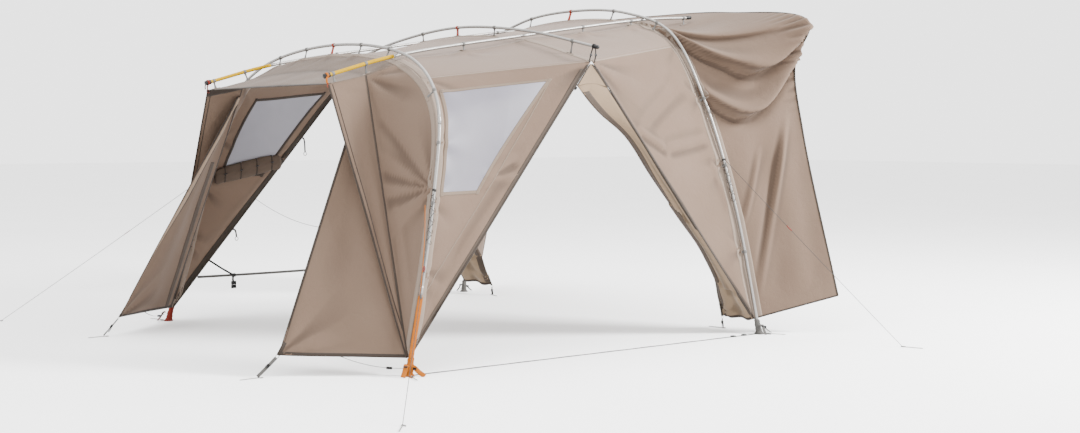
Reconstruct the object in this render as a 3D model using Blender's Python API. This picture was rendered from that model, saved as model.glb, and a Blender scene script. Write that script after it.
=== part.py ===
import math
from collections import defaultdict

import bmesh
import bpy
from mathutils import Vector
from mathutils.bvhtree import BVHTree

# Campervan awning: a skin of sewn panels hung by clips inside three poles that cross the roof
# and two that run outwards over it. Metres, +Z up, ground at z = 0.
# Places are written as (out, side, up): out from the awning's open back, side from the centre
# plane (+ is the near side) and up from the ground. World X runs the same way as out.

# Outer arch: half its outline, from a foot to the crown, in a plane that leans inwards
OUTER_ARCH_OUT = 3.49
OUTER_ARCH_LEAN = -0.245
OUTER_FOOT_SIDE = 1.63
OUTER_KNEE_SIDE, OUTER_KNEE_UP = 1.54, 1.03
OUTER_SHOULDER_SIDE, OUTER_SHOULDER_UP = 1.385, 1.645
OUTER_HAUNCH_SIDE, OUTER_HAUNCH_UP = 1.03, 1.932
OUTER_CROWN_UP = 2.08

# Van arch, at the awning's open back, leaning outwards
VAN_ARCH_OUT = 0.478
VAN_ARCH_LEAN = 0.11
VAN_FOOT_SIDE = 1.79
VAN_KNEE_SIDE, VAN_KNEE_UP = 1.63, 0.946
VAN_SHOULDER_SIDE, VAN_SHOULDER_UP = 1.395, 1.71
VAN_HAUNCH_SIDE, VAN_HAUNCH_UP = 1.1, 2.215
VAN_BROW_SIDE, VAN_BROW_UP = 0.64, 2.39
VAN_CROWN_UP = 2.445

# Middle pole, which only bows over the roof
MIDDLE_POLE_OUT = 1.89
MIDDLE_END_SIDE, MIDDLE_END_UP = 1.55, 2.041
MIDDLE_HAUNCH_SIDE, MIDDLE_HAUNCH_UP = 0.81, 2.189
MIDDLE_CROWN_UP = 2.257

# Ridge poles, one each side, slung under the three poles that cross them
RIDGE_SIDE = 0.811
RIDGE_TIP_OUT, RIDGE_TIP_UP = 3.552, 1.822
RIDGE_TAIL_OUT, RIDGE_TAIL_UP = 0.225, 2.372
RIDGE_UNDER_OUTER = 0.028
RIDGE_UNDER_MIDDLE = 0.031
RIDGE_UNDER_VAN = 0.021
RIDGE_COLOUR_OUT = 3.03

# Poles and their joints
POLE_RADIUS = 0.008
POLE_STEP = 0.16
FERRULE_GROWTH = 1.22
FERRULE_LENGTH = 0.045
JOINT_GAP = 0.0004
OUTER_FOOT_POLE_UP = 0.48
OUTER_LEG_TOP_UP = 1.52
VAN_LEG_TOP_UP = 1.62

# Feet, caps and pegs
FOOT_HEIGHT = 0.105
FOOT_TOP_RADIUS = 0.0225
FOOT_BASE_RADIUS = 0.036
FOOT_FLOOR_UP = 0.012
SEAT_GAP = 0.0003
CAP_WALL = 0.003
CAP_LENGTH = 0.034
PEG_RADIUS = 0.0026
PEG_LENGTH = 0.15
PEG_HOOK = 0.016
FOOT_TAB_LENGTH = 0.05
FOOT_TAB_WIDTH = 0.024
FOOT_TAB_THICK = 0.003

# Skin
SKIN = 0.003
SEAM_GAP = 0.0002
HINGE_EDGE = 0.0006
CROWN_HANG = 0.068
SHOULDER_HANG = 0.045
LEG_HANG = 0.0225
HEM_UP = FOOT_HEIGHT + 0.0008
EAVE_OUT, EAVE_SIDE, EAVE_UP = 3.54, 0.826, 1.77
WING_TOP_OUT, WING_TOP_UP = 3.245, 1.832
CANOPY_SEAM_SIDE = 0.87
OUTER_EAVE_UP = 1.81
VAN_EAVE_SIDE = 1.12
APEX_SIDE, APEX_UP = 1.50, 1.95
TIP_SPREAD = 0.013
BAY_SAG = 0.03
WALL_HOLLOW = 0.035

# Window in each outer wall: the grid lines round it, and its corners as shares of the wall's
# height and of its width from the leg
WINDOW_COLUMNS = (1, 5)
WINDOW_ROWS = (6, 10)
WINDOW_CORNERS = {
    "near": {"low_leg": (0.54, 0.13), "low_door": (0.54, 0.57), "top_leg": (0.915, 0.08), "top_door": (0.935, 0.775)},
    "far": {"low_leg": (0.56, 0.20), "low_door": (0.56, 0.78), "top_leg": (0.905, 0.20), "top_door": (0.915, 0.86)},
}
ROLL_HEIGHT = 0.11
ROLL_THICK = 0.034

# Sleeve from the van arch to its gathered edge, edge points as (side, up)
SLEEVE_CREST_UP = 2.44
SLEEVE_BROW_SIDE, SLEEVE_BROW_UP = 1.0, 2.415
SLEEVE_CORNER_SIDE, SLEEVE_CORNER_UP = 1.83, 2.285
SLEEVE_NECK_SIDE, SLEEVE_NECK_UP = 1.70, 1.99
SLEEVE_WAIST_SIDE, SLEEVE_WAIST_UP = 1.778, 1.49
SLEEVE_HEM_SIDE, SLEEVE_HEM_UP = 2.128, 0.272
SLEEVE_SAG = 0.07
SWAG_DEPTH = 0.05
SWAG_WIDTH = 0.05
PLEAT_DEPTH = 0.022

# Front wings and side door leaves, hinged on their seams
WING_PEG_OUT, WING_PEG_SIDE = 4.225, 1.12
WING_CORNER_UP = 0.13
WING_EDGE_GAP = 0.0042
DOOR_PEG_OUT, DOOR_PEG_SIDE = 0.455, 1.40
DOOR_CORNER_UP = 0.09
DOOR_EDGE_GAP = 0.0009
TIE_WIDTH = 0.012
TIE_THICK = 0.002
WING_TIE_LIFT = 0.001
DOOR_TIE_LIFT = 0.0016

# Clips: a hook round the pole with a tail to the skin
CLIP_WALL = 0.0025
CLIP_WIDTH = 0.014
CLIP_TAIL = 0.0022
CLIP_OPENING = math.radians(80)
CLIP_BITE = 0.0006

# Guy lines, their runners and pegs
GUY_RADIUS = 0.0018
GUY_TOP_UP = 1.108
GUY_FRONT_OUT, GUY_FRONT_SIDE = 4.34, 2.80
GUY_FAR_OUT, GUY_FAR_SIDE = 4.487, 2.435
GUY_BACK_OUT, GUY_BACK_SIDE = 0.219, 2.841
GUY_BACK_TOP_UP = 1.27
GUY_EYE_GAP = 0.0004
GUY_EYE_LAP = 0.0007
RUNNER_LENGTH = 0.055
RUNNER_HALF = 0.0075
RUNNER_SHARE = 0.38

# Front door, rolled up
DOOR_ROLL_RADIUS = 0.026
ROLL_GAP = 0.0008

# Straps
STRAP_WIDTH = 0.02
STRAP_THICK = 0.0018
CROSS_STRAP_UP = 0.33
SLACK_UP = 0.93
SLACK_SAG = 0.27
SLACK_GAP = 0.0012
SLIDER_LENGTH = 0.03
SLIDER_WIDTH = 0.014
SLIDER_THICK = 0.008

SIDES = {"near": 1, "far": -1}
PEG_TIP = PEG_LENGTH - 0.03
MID_OUT = (WING_PEG_OUT + PEG_TIP) / 2


def at(out, side, up):
    return Vector((out - MID_OUT, side, up))


def clear_scene():
    for thing in list(bpy.data.objects):
        bpy.data.objects.remove(thing)
    parts = bpy.data.collections.new("campervan_awning")
    cutters = bpy.data.collections.new("helper_shapes")
    bpy.context.scene.collection.children.link(parts)
    bpy.context.scene.collection.children.link(cutters)
    return parts, cutters


parts, helpers = clear_scene()
materials = {}


def material(name, colour, roughness, metallic=0.0, alpha=1.0):
    made = bpy.data.materials.new(name)
    made.use_nodes = True
    shader = made.node_tree.nodes["Principled BSDF"]
    shader.inputs["Base Color"].default_value = (*colour, 1)
    shader.inputs["Roughness"].default_value = roughness
    shader.inputs["Metallic"].default_value = metallic
    shader.inputs["Alpha"].default_value = alpha
    materials[name] = made


material("pole_grey", (0.62, 0.62, 0.62), 0.35, 0.8)
material("pole_yellow", (0.85, 0.55, 0.05), 0.4)
material("pole_orange", (0.85, 0.30, 0.02), 0.4)
material("canvas", (0.48, 0.41, 0.36), 0.9)
material("canvas_pale", (0.56, 0.51, 0.47), 0.9)
material("canvas_dark", (0.26, 0.21, 0.18), 0.9)
material("window_film", (0.50, 0.49, 0.54), 0.25, 0.0, 0.6)
material("black_plastic", (0.03, 0.03, 0.03), 0.5)
material("red_webbing", (0.70, 0.10, 0.05), 0.8)
material("grey_webbing", (0.30, 0.29, 0.28), 0.85)
material("peg_steel", (0.45, 0.44, 0.42), 0.4, 0.9)
material("guy_cord", (0.42, 0.41, 0.40), 0.8)


def add(thing, material_name, collection=None):
    thing.data.materials.append(materials[material_name])
    (collection or parts).objects.link(thing)
    return thing


def mesh_object(name, bm, material_name, origin=Vector(), collection=None):
    bmesh.ops.translate(bm, verts=bm.verts, vec=-origin)
    bmesh.ops.recalc_face_normals(bm, faces=bm.faces)
    mesh = bpy.data.meshes.new(name)
    bm.to_mesh(mesh)
    bm.free()
    thing = bpy.data.objects.new(name, mesh)
    thing.location = origin
    return add(thing, material_name, collection)


# Smooth curve through a few points, sampled closely and then read by its length
class Path:
    def __init__(self, knots, steps=24):
        knots = [Vector(k) for k in knots]
        ends = [knots[0] * 2 - knots[1]] + knots + [knots[-1] * 2 - knots[-2]]
        self.points = [knots[0]]
        for a, b, c, d in zip(ends, ends[1:], ends[2:], ends[3:]):
            ta = 0.0
            tb = ta + math.sqrt((b - a).length)
            tc = tb + math.sqrt((c - b).length)
            td = tc + math.sqrt((d - c).length)
            for i in range(1, steps + 1):
                t = tb + (tc - tb) * i / steps
                ab = a.lerp(b, (t - ta) / (tb - ta))
                bc = b.lerp(c, (t - tb) / (tc - tb))
                cd = c.lerp(d, (t - tc) / (td - tc))
                abc = ab.lerp(bc, (t - ta) / (tc - ta))
                bcd = bc.lerp(cd, (t - tb) / (td - tb))
                self.points.append(abc.lerp(bcd, (t - tb) / (tc - tb)))
        self.lengths = [0.0]
        for a, b in zip(self.points, self.points[1:]):
            self.lengths.append(self.lengths[-1] + (b - a).length)
        self.length = self.lengths[-1]

    def at(self, s):
        s = min(max(s, 0.0), self.length)
        for i in range(1, len(self.points)):
            if self.lengths[i] >= s:
                span = self.lengths[i] - self.lengths[i - 1]
                return self.points[i - 1].lerp(self.points[i], (s - self.lengths[i - 1]) / span)
        return self.points[-1].copy()

    def tangent(self, s):
        return (self.at(s + 0.004) - self.at(s - 0.004)).normalized()

    # Length along the path where a measure first passes a value
    def where(self, measure, value):
        first = measure(self.points[0]) < value
        for i in range(1, len(self.points)):
            if (measure(self.points[i]) < value) != first:
                a, b = measure(self.points[i - 1]), measure(self.points[i])
                return self.lengths[i - 1] + (value - a) / (b - a) * (self.lengths[i] - self.lengths[i - 1])
        return self.length

    def between(self, s0, s1, step):
        count = max(2, math.ceil(abs(s1 - s0) / step) + 1)
        return [self.at(s0 + (s1 - s0) * i / (count - 1)) for i in range(count)]


def arch(out, lean, half):
    knots = [(out + lean * up, -side, up) for side, up in half]
    knots += [(out + lean * up, side, up) for side, up in reversed(half[:-1])]
    return Path([at(*k) for k in knots])


outer_half = [
    (OUTER_FOOT_SIDE, 0.0), (OUTER_KNEE_SIDE, OUTER_KNEE_UP), (OUTER_SHOULDER_SIDE, OUTER_SHOULDER_UP),
    (OUTER_HAUNCH_SIDE, OUTER_HAUNCH_UP), (0.0, OUTER_CROWN_UP),
]
van_half = [
    (VAN_FOOT_SIDE, 0.0), (VAN_KNEE_SIDE, VAN_KNEE_UP), (VAN_SHOULDER_SIDE, VAN_SHOULDER_UP),
    (VAN_HAUNCH_SIDE, VAN_HAUNCH_UP), (VAN_BROW_SIDE, VAN_BROW_UP), (0.0, VAN_CROWN_UP),
]
middle_half = [(MIDDLE_END_SIDE, MIDDLE_END_UP), (MIDDLE_HAUNCH_SIDE, MIDDLE_HAUNCH_UP), (0.0, MIDDLE_CROWN_UP)]
outer_arch = arch(OUTER_ARCH_OUT, OUTER_ARCH_LEAN, outer_half)
van_arch = arch(VAN_ARCH_OUT, VAN_ARCH_LEAN, van_half)
middle_arch = arch(MIDDLE_POLE_OUT, 0.0, middle_half)


def crossing(path, side):
    return path.at(path.where(lambda p: p.y, side))


def ridge(side):
    y = RIDGE_SIDE * side
    under = [
        crossing(outer_arch, y) - Vector((0, 0, RIDGE_UNDER_OUTER)),
        crossing(middle_arch, y) - Vector((0, 0, RIDGE_UNDER_MIDDLE)),
        crossing(van_arch, y) - Vector((0, 0, RIDGE_UNDER_VAN)),
    ]
    return Path([at(RIDGE_TIP_OUT, y, RIDGE_TIP_UP)] + under + [at(RIDGE_TAIL_OUT, y, RIDGE_TAIL_UP)])


ridges = {name: ridge(side) for name, side in SIDES.items()}


# Round tube along a list of points, with a thicker ferrule at an end where asked
def tube(name, points, radius, material_name, ferrule_start=False, ferrule_end=False):
    points = [p.copy() for p in points]
    radii = [1.0] * len(points)
    if ferrule_end:
        near_end = points[-1] + (points[-2] - points[-1]).normalized() * FERRULE_LENGTH
        points[-1:] = [near_end, near_end.lerp(points[-1], 0.02), points[-1]]
        radii = [1.0] * (len(points) - 2) + [FERRULE_GROWTH] * 2
    if ferrule_start:
        near_start = points[0] + (points[1] - points[0]).normalized() * FERRULE_LENGTH
        points[:1] = [points[0], near_start.lerp(points[0], 0.02), near_start]
        radii = [FERRULE_GROWTH] * 2 + radii[0:1] + radii[1:]
    curve = bpy.data.curves.new(name, "CURVE")
    curve.dimensions = "3D"
    curve.bevel_depth = radius
    curve.bevel_resolution = 2
    curve.use_fill_caps = True
    spline = curve.splines.new("POLY")
    spline.points.add(len(points) - 1)
    for target, p, r in zip(spline.points, points, radii):
        target.co = (*p, 1)
        target.radius = r
    return add(bpy.data.objects.new(name, curve), material_name)


def turned(bm_profile, axis_start, axis_direction, segments=16):
    bm = bmesh.new()
    rings = []
    turn = axis_direction.to_track_quat("Z", "Y").to_matrix()
    for radius, height in bm_profile:
        if radius == 0:
            rings.append([bm.verts.new(axis_start + turn @ Vector((0, 0, height)))])
            continue
        ring = []
        for i in range(segments):
            a = 2 * math.pi * i / segments
            ring.append(bm.verts.new(axis_start + turn @ Vector((radius * math.cos(a), radius * math.sin(a), height))))
        rings.append(ring)
    for low, high in zip(rings, rings[1:]):
        for i in range(segments):
            j = (i + 1) % segments
            quad = [low[i % len(low)], low[j % len(low)], high[j % len(high)], high[i % len(high)]]
            bm.faces.new(list(dict.fromkeys(quad)))
    return bm


def cut_flat(bm, height, keep_above):
    cut = bmesh.ops.bisect_plane(
        bm, geom=bm.verts[:] + bm.edges[:] + bm.faces[:], plane_co=(0, 0, height), plane_no=(0, 0, 1),
        clear_inner=keep_above, clear_outer=not keep_above, dist=1e-6,
    )["geom_cut"]
    loops = [g for g in cut if isinstance(g, bmesh.types.BMEdge)]
    bmesh.ops.triangle_fill(bm, use_beauty=True, edges=loops, normal=(0, 0, 1))
    return bm


# Closed box between two points, with a width direction
def bar(bm, start, end, across, width, thick):
    along = (end - start).normalized()
    across = (across - along * across.dot(along)).normalized()
    up = along.cross(across)
    corners = []
    for p in (start, end):
        for a, b in ((-1, -1), (1, -1), (1, 1), (-1, 1)):
            corners.append(bm.verts.new(p + across * (a * width / 2) + up * (b * thick / 2)))
    low, high = corners[:4], corners[4:]
    bm.faces.new(low)
    bm.faces.new(high)
    for i in range(4):
        bm.faces.new((low[i], low[(i + 1) % 4], high[(i + 1) % 4], high[i]))


# Flat strap through points, as one closed loft
def strap(bm, points, across, width, thick):
    rings = []
    for i, p in enumerate(points):
        along = (points[min(i + 1, len(points) - 1)] - points[max(i - 1, 0)]).normalized()
        side = (across - along * across.dot(along)).normalized()
        up = along.cross(side)
        rings.append([
            bm.verts.new(p + side * (a * width / 2) + up * (b * thick / 2))
            for a, b in ((-1, -1), (1, -1), (1, 1), (-1, 1))
        ])
    for low, high in zip(rings, rings[1:]):
        for i in range(4):
            bm.faces.new((low[i], low[(i + 1) % 4], high[(i + 1) % 4], high[i]))
    bm.faces.new(rings[0])
    bm.faces.new(rings[-1])


def outward(bm):
    bmesh.ops.recalc_face_normals(bm, faces=bm.faces)
    if bm.calc_volume(signed=True) < 0:
        bmesh.ops.reverse_faces(bm, faces=bm.faces)
    return bm


# Join a list of closed shapes to an object as one body
def unite(thing, shapes, name):
    mesh = bpy.data.meshes.new(name)
    whole = bmesh.new()
    for shape in shapes:
        outward(shape).to_mesh(mesh)
        shape.free()
        whole.from_mesh(mesh)
    whole.to_mesh(mesh)
    whole.free()
    operand = bpy.data.objects.new(name, mesh)
    helpers.objects.link(operand)
    operand.hide_render = True
    operand.display_type = "WIRE"
    joined = thing.modifiers.new("joined", "BOOLEAN")
    joined.operation = "UNION"
    joined.object = operand
    joined.solver = "EXACT"


# One clip: a hook open at the top, round the pole, and a tail down to a point on the skin
def clip(centre, tangent, target):
    down = target - centre
    down = down - tangent * down.dot(tangent)
    reach = down.length + CLIP_BITE
    down.normalize()
    across = tangent.cross(down)
    side_steps = 3
    last = math.pi - CLIP_OPENING / 2
    tail = math.asin(CLIP_TAIL / (POLE_RADIUS + CLIP_WALL))
    angles = [last + (tail - last) * i / side_steps for i in range(side_steps + 1)]
    angles += [-a for a in reversed(angles)]
    inner = (POLE_RADIUS + SEAT_GAP) / math.cos((last - tail) / side_steps / 2)
    outer = inner + CLIP_WALL
    bm = bmesh.new()

    def ring(radius, end):
        return [
            bm.verts.new(centre + tangent * end + (down * math.cos(a) + across * math.sin(a)) * radius)
            for a in angles
        ]

    ends = (-CLIP_WIDTH / 2, CLIP_WIDTH / 2)
    inside = [ring(inner, end) for end in ends]
    outside = [ring(outer, end) for end in ends]
    tip = [
        [bm.verts.new(centre + tangent * end + down * reach + across * (outer * math.sin(a))) for a in (tail, -tail)]
        for end in ends
    ]
    for k in range(2):
        for i in range(len(angles) - 1):
            bm.faces.new((inside[k][i], inside[k][i + 1], outside[k][i + 1], outside[k][i]))
        bm.faces.new((outside[k][side_steps], outside[k][side_steps + 1], tip[k][1], tip[k][0]))
    skin_side = outside[0][:side_steps + 1] + tip[0] + outside[0][side_steps + 1:] + inside[0][::-1]
    other_side = outside[1][:side_steps + 1] + tip[1] + outside[1][side_steps + 1:] + inside[1][::-1]
    count = len(skin_side)
    for i in range(count):
        j = (i + 1) % count
        bm.faces.new((skin_side[i], skin_side[j], other_side[j], other_side[i]))
    return bm


# Skin sections at the poles: the pole's own line drawn inwards by the hang
def hang_at(path, s, crown_up):
    p = path.at(s)
    rise = min(max(p.z / crown_up, 0.0), 1.0)
    if rise > 0.8:
        share = (rise - 0.8) / 0.2
        return SHOULDER_HANG + (CROWN_HANG - SHOULDER_HANG) * share
    if rise > 0.5:
        return LEG_HANG + (SHOULDER_HANG - LEG_HANG) * ((rise - 0.5) / 0.3)
    return LEG_HANG


def under_pole(path, s, crown_up, plane_tilt):
    p = path.at(s)
    along = path.tangent(s)
    plane = Vector((1, 0, -plane_tilt)).normalized()
    inward = along.cross(plane).normalized()
    if inward.dot(at(MID_OUT, 0, 1.0) - p) < 0:
        inward.negate()
    return p + inward * hang_at(path, s, crown_up)


def outer_skin(s):
    return under_pole(outer_arch, s, OUTER_CROWN_UP, OUTER_ARCH_LEAN)


def van_skin(s):
    return under_pole(van_arch, s, VAN_CROWN_UP, VAN_ARCH_LEAN)


def skin_path(section, path):
    count = 160
    return Path([section(path.length * i / count) for i in range(count + 1)], steps=1)


outer_line = skin_path(outer_skin, outer_arch)
van_line = skin_path(van_skin, van_arch)


# Line of a section on one side, from the foot up to a stop, as a function of a share 0..1
def side_line(path, side, stop):
    start = path.where(lambda p: p.z, HEM_UP) if side < 0 else path.length - Path(
        list(reversed(path.points)), steps=1).where(lambda p: p.z, HEM_UP)
    return lambda share: path.at(start + (stop - start) * share)


def fan(left, right, rows, columns, hollow=0.0, toward=None):
    grid = []
    for i in range(rows + 1):
        v = i / rows
        a, b = left(v), right(v)
        row = []
        for j in range(columns + 1):
            u = j / columns
            p = a.lerp(b, u)
            if hollow and toward:
                p += toward * (hollow * math.sin(math.pi * u) * math.sin(math.pi * min(1.0, v * 1.15)) * (b - a).length)
            row.append(p)
        grid.append(row)
    return grid


def line(a, b):
    return lambda share: a.lerp(b, share)


# Place of a grid point on an outer wall, as shares (height, width), drawn in to the window
def window_share(window, i, j, rows, columns):
    (c0, c1), (r0, r1) = WINDOW_COLUMNS, WINDOW_ROWS
    t = min(max((i - r0) / (r1 - r0), 0.0), 1.0)
    s = min(max((j - c0) / (c1 - c0), 0.0), 1.0)
    low = Vector(window["low_leg"]).lerp(Vector(window["low_door"]), s)
    top = Vector(window["top_leg"]).lerp(Vector(window["top_door"]), s)
    place = low.lerp(top, t)
    if i < r0:
        place = Vector((0.0, j / columns)).lerp(place, i / r0)
    if i > r1:
        place = place.lerp(Vector((1.0, j / columns)), (i - r1) / (rows - r1))
    if j < c0:
        place = Vector((i / rows, 0.0)).lerp(place, j / c0)
    if j > c1:
        place = place.lerp(Vector((i / rows, 1.0)), (j - c1) / (columns - c1))
    return place


def spread(point, out, side=0.0):
    return point + Vector((out, side, 0))


# The sewn skin: neighbouring panels share their seam points and seam normals, so their edges are
# mitred to each other, a hair apart
class Skin:
    def __init__(self):
        self.panels = {}
        self.skip = {}
        self.thin = set()
        self.chords = {}

    def panel(self, name, grid, skip=()):
        self.panels[name] = grid
        self.skip[name] = set(skip)

    @staticmethod
    def key(p):
        return tuple(round(c * 20000) for c in p)

    def faces(self, name):
        grid = self.panels[name]
        rows, columns = len(grid) - 1, len(grid[0]) - 1
        cells = [(i, j) for i in range(rows) for j in range(columns) if (i, j) not in self.skip[name]]
        points = {}
        faces = []
        for i, j in cells:
            quad = [(i, j), (i, j + 1), (i + 1, j + 1), (i + 1, j)]
            face = []
            for r, c in quad:
                k = self.key(grid[r][c])
                points[k] = grid[r][c]
                if k not in face:
                    face.append(k)
            if len(face) > 2:
                faces.append(face)
        total = Vector()
        middle = Vector()
        for face in faces:
            total += self.area(face, points)
            middle += points[face[0]] / len(faces)
        if total.dot(middle - at(MID_OUT - 0.4, 0, 0.9)) < 0:
            faces = [list(reversed(f)) for f in faces]
        return points, faces

    @staticmethod
    def area(face, points):
        p = [points[k] for k in face]
        n = (p[1] - p[0]).cross(p[2] - p[0])
        if len(p) == 4:
            n += (p[2] - p[0]).cross(p[3] - p[0])
        return n

    def sew(self):
        normals = defaultdict(Vector)
        owners = defaultdict(set)
        built = {name: self.faces(name) for name in self.panels}
        for name, (points, faces) in built.items():
            for face in faces:
                n = self.area(face, points)
                for k in face:
                    normals[k] += n
                    owners[k].add(name)
        return built, normals, owners

    def solids(self):
        built, normals, owners = self.sew()
        for k, (a, b, share) in self.chords.items():
            normals[k] = normals[a].normalized().lerp(normals[b].normalized(), share)
            owners[k] |= {"seam", "chord"}
        made = {}
        for name, (points, faces) in built.items():
            made[name] = shell(points, faces, normals, {k for k in points if len(owners[k]) > 1}, self.thin)
        return made


# Closed shell round a patch of faces; seam points are drawn in a hair, thin points get a thin edge
def shell(points, faces, normals, seam, thin=(), gap=SEAM_GAP):
    uses = defaultdict(int)
    pull = defaultdict(Vector)
    for face in faces:
        centre = sum((points[k] for k in face), Vector()) / len(face)
        for a, b in zip(face, face[1:] + face[:1]):
            uses[frozenset((a, b))] += 1
        for k in face:
            pull[k] += (centre - points[k]).normalized()
    bm = bmesh.new()
    top, low = {}, {}
    for k, p in points.items():
        n = normals[k].normalized()
        if k in seam:
            inward = pull[k] - n * pull[k].dot(n)
            p = p + inward.normalized() * gap
        half = HINGE_EDGE / 2 if k in thin else SKIN / 2
        top[k] = bm.verts.new(p + n * half)
        low[k] = bm.verts.new(p - n * half)
    for face in faces:
        bm.faces.new([top[k] for k in face])
        bm.faces.new([low[k] for k in reversed(face)])
        for a, b in zip(face, face[1:] + face[:1]):
            if uses[frozenset((a, b))] == 1:
                bm.faces.new((top[b], top[a], low[a], low[b]))
    bmesh.ops.triangulate(bm, faces=[f for f in bm.faces if len(f.verts) > 3])
    return bm


# Seam ends and corners
def seam_stop(path, side, measure, value):
    points = path.points if side < 0 else list(reversed(path.points))
    s = Path(points, steps=1).where(measure, value)
    return s if side < 0 else path.length - s


CHEEK_COLUMNS = 2
SHOULDER_COLUMNS = 4
SHOULDER_ROWS = 3
CANOPY_COLUMNS = 8
ROOF_COLUMNS = CANOPY_COLUMNS + 2 * SHOULDER_ROWS
WALL_COLUMNS = 6
WALL_ROWS = 11
edges = {}
skin = Skin()
for name, side in SIDES.items():
    outer_eave = seam_stop(outer_line, side, lambda p: p.z, OUTER_EAVE_UP)
    canopy_seam = seam_stop(outer_line, side, lambda p: -abs(p.y), -CANOPY_SEAM_SIDE)
    van_eave = seam_stop(van_line, side, lambda p: -abs(p.y), -VAN_EAVE_SIDE)
    outer_leg = side_line(outer_line, side, outer_eave)
    van_leg = side_line(van_line, side, van_eave)
    apex = at(MIDDLE_POLE_OUT, APEX_SIDE * side, APEX_UP)
    tip = outer_leg(0)
    van_tip = van_leg(0)
    edges[name] = {
        "outer_eave": outer_eave, "canopy_seam": canopy_seam, "van_eave": van_eave,
        "outer_leg": outer_leg, "van_leg": van_leg, "apex": apex,
        "door_outer": spread(tip, -TIP_SPREAD), "door_van": spread(van_tip, TIP_SPREAD),
        "wing_foot": spread(tip, TIP_SPREAD, side * 0.004),
        "eave_foot": spread(tip, 2 * TIP_SPREAD, side * 0.006),
        "wing_top": at(WING_TOP_OUT, RIDGE_SIDE * side, WING_TOP_UP),
        "eave": at(EAVE_OUT, EAVE_SIDE * side, EAVE_UP),
    }

near, far = edges["near"], edges["far"]

# Roof: sections under the outer arch, the middle pole and the van arch, with bays between them
def steps_between(path, a, b, count):
    return [path.at(a + (b - a) * i / count) for i in range(count + 1)]


outer_section = steps_between(outer_line, near["outer_eave"], near["canopy_seam"], SHOULDER_ROWS)
outer_section += steps_between(outer_line, near["canopy_seam"], far["canopy_seam"], CANOPY_COLUMNS)[1:]
outer_section += steps_between(outer_line, far["canopy_seam"], far["outer_eave"], SHOULDER_ROWS)[1:]
van_section = steps_between(van_line, near["van_eave"], far["van_eave"], ROOF_COLUMNS)
middle_knots = [at(MIDDLE_POLE_OUT, -APEX_SIDE, APEX_UP)]
for side in (-1, 1):
    haunch = at(MIDDLE_POLE_OUT, MIDDLE_HAUNCH_SIDE * side, MIDDLE_HAUNCH_UP - CROWN_HANG)
    middle_knots.append(haunch)
    if side < 0:
        middle_knots.append(at(MIDDLE_POLE_OUT, 0, MIDDLE_CROWN_UP - CROWN_HANG))
middle_knots.append(at(MIDDLE_POLE_OUT, APEX_SIDE, APEX_UP))
middle_line = Path(middle_knots)
middle_section = steps_between(middle_line, middle_line.length, 0, ROOF_COLUMNS)


def bay(first, last, steps, sag):
    rows = []
    for i in range(steps + 1):
        v = i / steps
        row = []
        for j, (a, b) in enumerate(zip(first, last)):
            p = a.lerp(b, v)
            edge = math.sin(math.pi * j / (len(first) - 1))
            p.z -= sag * 4 * v * (1 - v) * edge
            row.append(p)
        rows.append(row)
    return rows


roof_rows = bay(outer_section, middle_section, WALL_COLUMNS, BAY_SAG)
roof_rows += bay(middle_section, van_section, WALL_COLUMNS, BAY_SAG)[1:]
skin.panel("roof", roof_rows)

# Canopy: from the straight front eave up to the outer arch, between the two wing seams
canopy_back = outer_section[SHOULDER_ROWS:-SHOULDER_ROWS]
canopy_front = [near["eave"].lerp(far["eave"], j / CANOPY_COLUMNS) for j in range(CANOPY_COLUMNS + 1)]
top_share = (EAVE_OUT - WING_TOP_OUT) / (EAVE_OUT - MID_OUT - canopy_back[0].x)
canopy_wing = [a.lerp(b, top_share) for a, b in zip(canopy_front, canopy_back)]
lift_near = near["wing_top"] - canopy_wing[0]
for j in range(CANOPY_COLUMNS + 1):
    canopy_wing[j] = canopy_wing[j] + Vector((0, 0, lift_near.z))
canopy_wing[0] = near["wing_top"].copy()
canopy_wing[-1] = far["wing_top"].copy()
canopy_rows = bay(canopy_front, canopy_wing, CHEEK_COLUMNS, 0.0)
canopy_rows += bay(canopy_wing, canopy_back, SHOULDER_COLUMNS, 0.0)[1:]
skin.panel("front_canopy", canopy_rows)

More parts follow.
